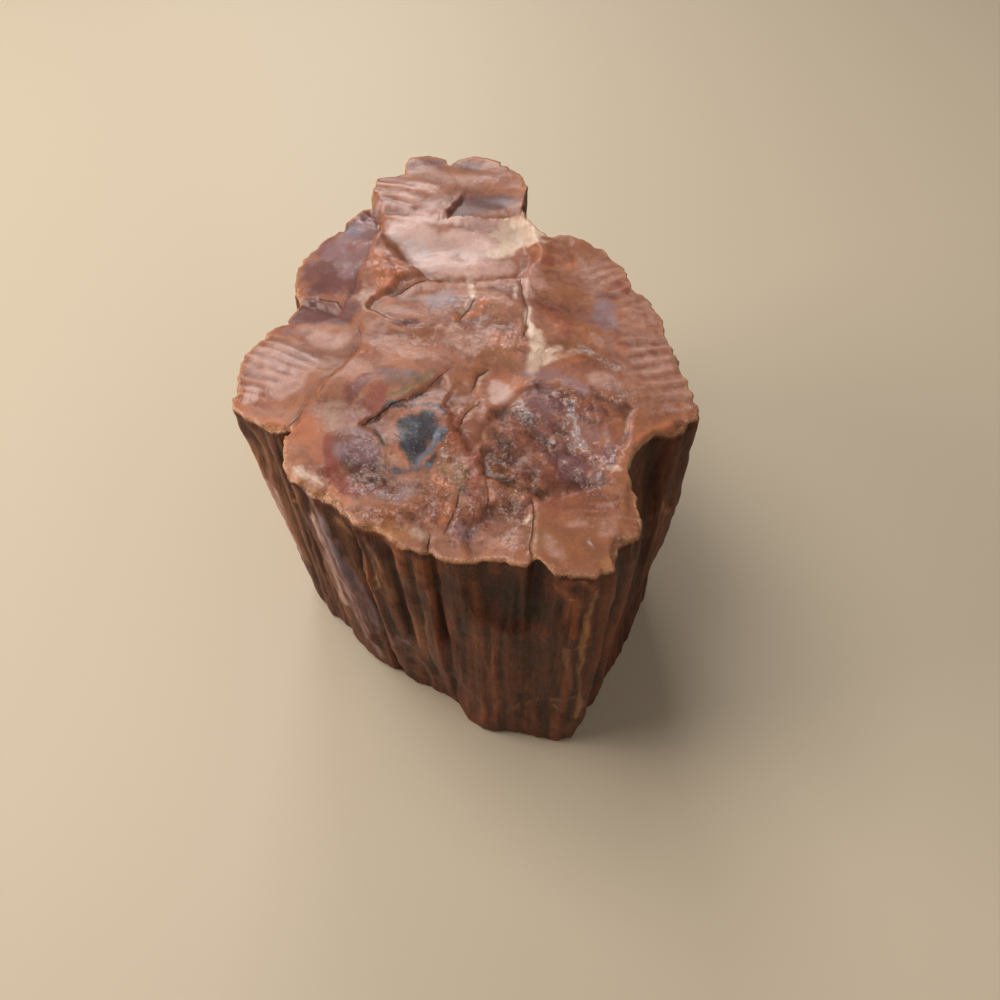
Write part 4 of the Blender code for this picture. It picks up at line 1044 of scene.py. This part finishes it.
class Finish:
    """A material and the few kinds of node that its recipe needs."""

    def __init__(self, name):
        self.material = bpy.data.materials.new(name)
        self.material.use_nodes = True
        self.tree = self.material.node_tree
        self.shader = self.tree.nodes["Principled BSDF"]

    def add(self, kind, settings=None, inputs=None, output=0):
        """Adds a node. Its settings come first, because some change its sockets, then values and links."""
        node = self.tree.nodes.new(kind)
        for name, value in (settings or {}).items():
            setattr(node, name, value)
        for name, value in (inputs or {}).items():
            self.join(value, node.inputs[name])
        return Wire(self, node.outputs[output])

    def join(self, value, socket):
        if isinstance(value, Wire):
            self.tree.links.new(value.socket, socket)
        else:
            socket.default_value = value

    def set(self, **sockets):
        """Joins wires or values to the shader, with underscores for the spaces in its socket names."""
        for name, value in sockets.items():
            self.join(value, self.shader.inputs[name.replace("_", " ")])

    def stored(self, name):
        return self.add("ShaderNodeAttribute", {"attribute_name": name}, output="Fac")

    def noise(self, place, scale, detail=3.0, roughness=0.55, distortion=0.0):
        inputs = {"Vector": place, "Scale": scale, "Detail": detail, "Roughness": roughness, "Distortion": distortion}
        return self.add("ShaderNodeTexNoise", None, inputs)

    def vector_maths(self, operation, first, second, output=0):
        """A vector or colour node. SCALE takes a value second, and the others take a vector."""
        inputs = {0: first, "Scale" if operation == "SCALE" else 1: second}
        return self.add("ShaderNodeVectorMath", {"operation": operation}, inputs, output)

    def facets(self, place, scale):
        """Height of a field of flat, tilted faces: each cell of a Voronoi texture has a random slope of its own."""
        cells = {"Vector": place, "Scale": scale, "Randomness": 1.0}
        slope = self.add("ShaderNodeTexVoronoi", {"feature": "F1"}, cells, output="Color")
        centre = self.add("ShaderNodeTexVoronoi", {"feature": "F1"}, cells, output="Position")
        slope = self.vector_maths("SUBTRACT", slope, (0.5, 0.5, 0.5))
        offset = self.vector_maths("SUBTRACT", place, centre)
        return self.vector_maths("DOT_PRODUCT", slope, offset, output="Value")

    def paint(self, amount, under, over):
        """Mixes two colours by an amount from 0 to 1."""
        return self.add("ShaderNodeMix", {"data_type": "RGBA"}, {0: amount, 6: under, 7: over}, output=2)

    def coats(self, under, *coats):
        """Paints coats over a colour, one after the other. Each coat is an amount and a colour."""
        for amount, over in coats:
            under = self.paint(amount, under, over)
        return under


def colour(red, green, blue):
    """A screen colour, 0 to 255, as the linear light that a shader works with."""
    c = np.array([red, green, blue]) / 255.0
    linear = np.where(c <= 0.04045, c / 12.92, ((c + 0.055) / 1.055) ** 2.4)
    return (*linear.tolist(), 1.0)


print("a mid grey is", np.round(colour(128, 128, 128)[:3], 3))

# %% [markdown]
# ## Agatized wood
#
# Petrified wood is coloured like paint in layers, so the recipe is layers too: each coat is an amount, from 0 to 1, and
# a colour. The colours come first. Those in the palette have the names of the stored strokes, and the others are the
# grounds under them and the fine marks over them. A photograph projected on the stone would be quicker, but it would
# smear down the sides and hold one light for ever.

# %% Colours of the stone
PALETTE = {
    "orange": colour(178, 108, 74),
    "tan": colour(148, 96, 66),
    "red": colour(134, 62, 46),
    "plum": colour(106, 64, 62),
    "lilac": colour(140, 106, 110),
    "pale": colour(202, 166, 158),
    "olive": colour(116, 90, 56),
    "rust": colour(136, 72, 34),
    # Dark brown-black, also used as painted shade.
    "dark_and_shade": colour(58, 28, 16),
    "moss": colour(56, 38, 22),
    "buff": colour(190, 134, 88),
    "cream": colour(220, 194, 174),
    "blue": colour(8, 16, 34),
    "steel": colour(88, 108, 128),
}
ROSE_BROWN = colour(150, 97, 77)
ORANGE_BROWN = colour(160, 102, 73)
UMBER_ROSE = colour(126, 75, 56)
LIGHT_ROSE = colour(182, 124, 98)
DEEP_BROWN = colour(96, 56, 44)
SIDE_BROWN = colour(104, 48, 19)
SIDE_UMBER = colour(60, 23, 7)
SIDE_LIGHT = colour(150, 80, 36)
# Dark brown of cracks and hairline pits, and of painted shade in grooves, under the front rim and in low places.
CRACK_AND_SHADE_BROWN = colour(40, 20, 14)
RIM_BUFF = colour(204, 150, 108)
FLECK = colour(220, 180, 148)
# The last two are painted light: glints of crystal faces and a whitish painted sheen.
GLINT = colour(240, 230, 226)
PAINTED_SHEEN = colour(198, 189, 193)

# %% [markdown]
# Five noises of falling size break up everything on the stone. Two more are drawn out along the grain, because the side
# shows the fibres lengthwise. In each coat, ramp picks the part of a noise that takes the colour, and the number after
# it is the strength of the coat.

# %% Ground of the end and of the side
STRETCH = 0.10

# Noises: cells in a millimetre, layers, roughness, distortion.
NOISES = [(0.17, 5.0, 0.55, 0.6), (0.30, 5.0, 0.58, 1.2), (0.7, 3.0, 0.55, 0.3), (2.2, 3.0, 0.55), (7.0, 2.0, 0.6)]
UPRIGHT_NOISES = [(0.5, 4.0, 0.62, 0.4), (1.9, 4.0, 0.7, 0.3)]

stone_finish = Finish("agatized_wood")
object_place = stone_finish.add("ShaderNodeTexCoord", output="Object")
place = stone_finish.vector_maths("SCALE", object_place, 1.0 / MM)
upright = stone_finish.vector_maths("MULTIPLY", place, (1.0, 1.0, STRETCH))
slow, blotch, medium, fine, grain = (stone_finish.noise(place, *numbers) for numbers in NOISES)
streak, fibre = (stone_finish.noise(upright, *numbers) for numbers in UPRIGHT_NOISES)
medium_swing, fine_swing, grain_swing, streak_swing, fibre_swing = (
    wire - 0.5 for wire in (medium, fine, grain, streak, fibre)
)

side_value, granular_value, polished_value, painted_shade_value = map(
    stone_finish.stored, ("side", "granular", "polished", "painted_shade")
)
blue_value, painted_sheen_value, rim_value, glitter_value = map(stone_finish.stored, ("blue", "painted_sheen", "rim", "glitter"))
end_value = 1.0 - side_value
tone = stone_finish.stored("lath_tone") + fibre_swing * 1.2

end_paint = stone_finish.coats(
    ROSE_BROWN,
    (slow.ramp(0.38, 0.62), ORANGE_BROWN),
    (blotch.ramp(0.48, 0.64) * 0.6, UMBER_ROSE),
    (blotch.ramp(0.44, 0.32) * 0.45, LIGHT_ROSE),
    (medium.ramp(0.50, 0.74) * 0.28, DEEP_BROWN),
    (granular_value * (medium * 0.6 + fine * 0.4).ramp(0.34, 0.62) * 0.75, DEEP_BROWN),
)
side_paint = stone_finish.coats(
    SIDE_BROWN,
    (streak.ramp(0.30, 0.68) * 0.75, SIDE_UMBER),
    (fibre.ramp(0.54, 0.74) * 0.35, SIDE_LIGHT),
    (tone.ramp(0.1, 1.2) * 0.35, SIDE_LIGHT),
    (tone.ramp(-0.1, -1.2) * 0.35, SIDE_UMBER),
)
paint = stone_finish.paint(side_value, end_paint, side_paint)
print("two grounds from", len(NOISES) + len(UPRIGHT_NOISES), "noises")

# %% [markdown]
# Each stored colour goes over the ground. Its border is cloudy on the end and drawn out along the grain on the side,
# because noise is added to the stored value before ramp cuts it. The ribs get one pale flank and one plum flank.

# %% Patches of colour
border = medium_swing * 0.8 + fine_swing * 0.25
streaked = streak_swing * 0.6 + fibre_swing * 0.8
border = border * end_value + streaked * side_value
patchy = 0.97 + fine_swing * 0.35
for name, over in PALETTE.items():
    amount = (stone_finish.stored(name) + border).ramp(0.12, 0.95)
    paint = stone_finish.paint(amount * patchy, paint, over)
flank = stone_finish.stored("ribs") + fine_swing
paint = stone_finish.coats(
    paint,
    (flank.ramp(0.1, 0.9) * 0.45, PALETTE["pale"]),
    (flank.ramp(-0.1, -0.9) * 0.32, PALETTE["plum"]),
)
print(len(PALETTE), "colours over the ground")

# %% [markdown]
# The stone is never one tone inside a patch. Fine grain darkens and lightens it everywhere, and raised places get a
# painted highlight. A crack is drawn from two stored values: how far across it a place is, which is exact between
# corners, and how near it is, which ends it. Its dark brown is partly the crack's own line and partly painted shade, as
# in the deep grooves, under the front rim and in low places. The glints are painted highlights of small crystal faces:
# thin curved pieces of a contour line of noise, and single grains. The painted sheen is a whitish reflection in patches
# in the hollows, and crumbs are the chipped, lighter grains along the rim.

# %% Cracks, flecks, painted sheen, painted shade, crumbs and painted glints
across = stone_finish.stored("crack_place") + fine_swing * 3.0
crack = across.size().ramp(2.2, 0.2) * (stone_finish.stored("crack_near") + fine_swing).ramp(0.3, 1.0)
pit_line = fine_swing.size().ramp(0.010, 0.002) * medium.ramp(0.47, 0.57)
pits = pit_line * (0.1 + 0.9 * granular_value) * (1.0 - 0.9 * polished_value) * end_value
curl_swing = stone_finish.noise(place, 1.5, 2.0, 0.5, 1.0) - 0.5
# Painted glints: highlights of crystal faces where the stone glitters, faint over the whole end and along the rim.
sparkle = (glitter_value + 0.1 * end_value + 0.6 * rim_value).ramp(0.1, 1.0)
glint = curl_swing.size().ramp(0.012, 0.003) * (grain * 0.5 + fine * 0.5).ramp(0.53, 0.60) * sparkle
glint = glint + grain.ramp(0.66, 0.73) * sparkle * 0.8
# Painted sheen, in patches.
painted_sheen = (painted_sheen_value + medium_swing * 0.5).ramp(0.25, 0.9) * (fine * 0.6 + medium * 0.4).ramp(0.38, 0.60)
near_rim = end_value + side_value * rim_value.ramp(0.02, 0.2)
crumbs = rim_value + fine_swing * 2.4 + grain_swing * 3.0 + medium_swing

mottle = grain_swing * 0.4 + fine_swing * 0.7
# Raised places get a painted highlight; mottle is the stone's own tone, varying at random.
high = stone_finish.stored("high") + fine_swing * 0.5
mottle_and_relief_light = 1.0 - mottle * 0.9 + high * (0.10 + 0.14 * granular_value + 0.15 * side_value)
paint = stone_finish.coats(
    stone_finish.vector_maths("SCALE", paint, mottle_and_relief_light),
    (mottle.ramp(-0.10, -0.34) * 0.10, FLECK),
    (painted_sheen * 0.6, PAINTED_SHEEN),
    (pits * 0.6, CRACK_AND_SHADE_BROWN),
    # Cracks: partly their own dark line, partly painted shade inside them.
    (crack * 0.65, CRACK_AND_SHADE_BROWN),
    # Painted shade in the deep grooves and under the front rim.
    (painted_shade_value.ramp(0.25, 0.9) * 0.6, CRACK_AND_SHADE_BROWN),
    # Painted shade in low places, on the granular end and on the side.
    (high.ramp(-0.4, -1.2) * 0.35 * (0.3 + 0.7 * (granular_value + side_value)), CRACK_AND_SHADE_BROWN),
    (crumbs.ramp(0.45, 1.1) * near_rim * 0.85, RIM_BUFF),
    (glint.ramp(0.0, 1.0) * 0.8, GLINT),
)
print("fine marks over the patches")

# %% [markdown]
# The same noises roughen the surface through a Bump node, so colour and relief agree. Broken agate also shows small,
# flat faces, which a Voronoi texture gives when each of its cells slopes a different way. The gloss is that of agate,
# duller on the split side and in the cracks. A little light scatters below the surface, as in any agate.

# %% Fine relief and gloss
BUMP_HEIGHT = 0.5
wobble = stone_finish.add("ShaderNodeTexNoise", None, {"Vector": place, "Scale": 0.8, "Detail": 2.0}, output="Color")
uneven_place = stone_finish.vector_maths("ADD", place, stone_finish.vector_maths("SCALE", wobble, 1.2))
broken = stone_finish.facets(uneven_place, 0.55) * 1.0 + stone_finish.facets(uneven_place, 1.4) * 0.7
rugged = (0.06 + 0.45 * granular_value + 0.4 * glitter_value) * (1.0 - 0.9 * polished_value - 0.4 * blue_value)
end_relief = (medium * 0.16 + fine * 0.04) * (1.0 - 0.5 * polished_value - 0.2 * blue_value) + broken * rugged
side_grain = streak * 0.35 + fibre * 0.45 + fine * 0.2 + grain * 0.06
height = end_relief * end_value + side_grain * side_value - crack * 0.4 - pits * 0.2
bump = stone_finish.add("ShaderNodeBump", None, {"Strength": 1.0, "Distance": BUMP_HEIGHT * MM, "Height": height})
roughness = 0.34 + 0.24 * side_value + fine_swing * (0.3 - 0.15 * blue_value)
roughness = roughness - 0.12 * glitter_value + 0.3 * painted_shade_value + 0.3 * crack
stone_finish.set(Base_Color=paint, Roughness=roughness, Normal=bump, IOR=1.54, Specular_IOR_Level=0.36)
stone_finish.set(Subsurface_Weight=0.06, Subsurface_Radius=(1.0, 0.5, 0.35), Subsurface_Scale=0.6 * MM)
mesh.materials.append(stone_finish.material)
print(len(stone_finish.tree.nodes), "nodes")

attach(stone, "root")
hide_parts("petrified_wood")

# %% [markdown]
# ## Floor, light and camera
#
# The stone is small and was looked at closely and steeply from above, so the camera is 135 mm over the floor and near
# the stone, which is why it looks so much narrower at the foot. Most of the light is broad and comes from above and
# from the left, with a window behind the stone that gives the sheen on the far half of the end. A weak light from the
# right and a warm world keep the shaded front side brown. The floor is plain, pale and large.

# %% Stage
FLOOR_HALF = 3.0
WORLD_TINT = (1.0, 0.86, 0.72, 1.0)
WORLD_STRENGTH = 0.11

# Lights: place in metres, size, power, tint.
LIGHTS = {
    "window": ((-0.12, 0.60, 0.40), 0.22, 1.25, (1.0, 0.98, 0.96)),
    "skylight": ((-0.25, 0.10, 0.58), 0.35, 2.3, (1.0, 0.96, 0.90)),
    "lamp": ((-0.62, 0.0, 0.22), 0.40, 2.8, (1.0, 0.90, 0.78)),
    "ceiling": ((0.42, -0.12, 0.80), 0.8, 1.1, (1.0, 0.94, 0.87)),
}
LIGHT_AIM = (0.0, 0.0, 0.03)

# The camera: place in mm from the outlines' origin, degrees below level, sensor width and lens in mm.
CAMERA_PLACE = (1.22, -94.62, 135.0)
CAMERA_TILT = 53.73
SENSOR = 36.0
LENS = 27.04

floor_mesh = bpy.data.meshes.new("floor")
corners = FLOOR_HALF * np.array([(-1, -1, 0), (1, -1, 0), (1, 1, 0), (-1, 1, 0)])
floor_mesh.from_pydata(corners, [], [(0, 1, 2, 3)])
floor = bpy.data.objects.new("floor", floor_mesh)
bpy.context.scene.collection.objects.link(floor)
floor_finish = Finish("pale_floor")
floor_finish.set(Base_Color=colour(206, 192, 170), Roughness=0.6)
floor_mesh.materials.append(floor_finish.material)

world = bpy.data.worlds.new("studio")
world.use_nodes = True
background = world.node_tree.nodes["Background"]
background.inputs["Color"].default_value = WORLD_TINT
background.inputs["Strength"].default_value = WORLD_STRENGTH
bpy.context.scene.world = world


def soft_light(name, place, size, power, tint):
    """A square light that faces the middle of the stone."""
    light = bpy.data.lights.new(name, "AREA")
    light.size = size
    light.energy = power
    light.color = tint
    lamp = bpy.data.objects.new(name, light)
    lamp.location = place
    aim = np.array(LIGHT_AIM) - np.array(place)
    lamp.rotation_mode = "QUATERNION"
    lamp.rotation_quaternion = Vector(aim).to_track_quat("-Z", "Y")
    bpy.context.scene.collection.objects.link(lamp)


for name, (light_place, size, power, tint) in LIGHTS.items():
    soft_light(name, light_place, size, power, tint)

camera = bpy.data.objects.new("camera", bpy.data.cameras.new("camera"))
camera.location = (np.array(CAMERA_PLACE) - MIDDLE) * MM
camera.rotation_euler = (np.radians(90.0 - CAMERA_TILT), 0.0, 0.0)
camera.data.sensor_width = SENSOR
camera.data.lens = LENS
camera.data.clip_start = 0.001
bpy.context.scene.collection.objects.link(camera)
bpy.context.scene.camera = camera
bpy.context.scene.view_settings.view_transform = "Standard"
print("camera at", np.round(np.array(camera.location) / MM, 1), "mm")
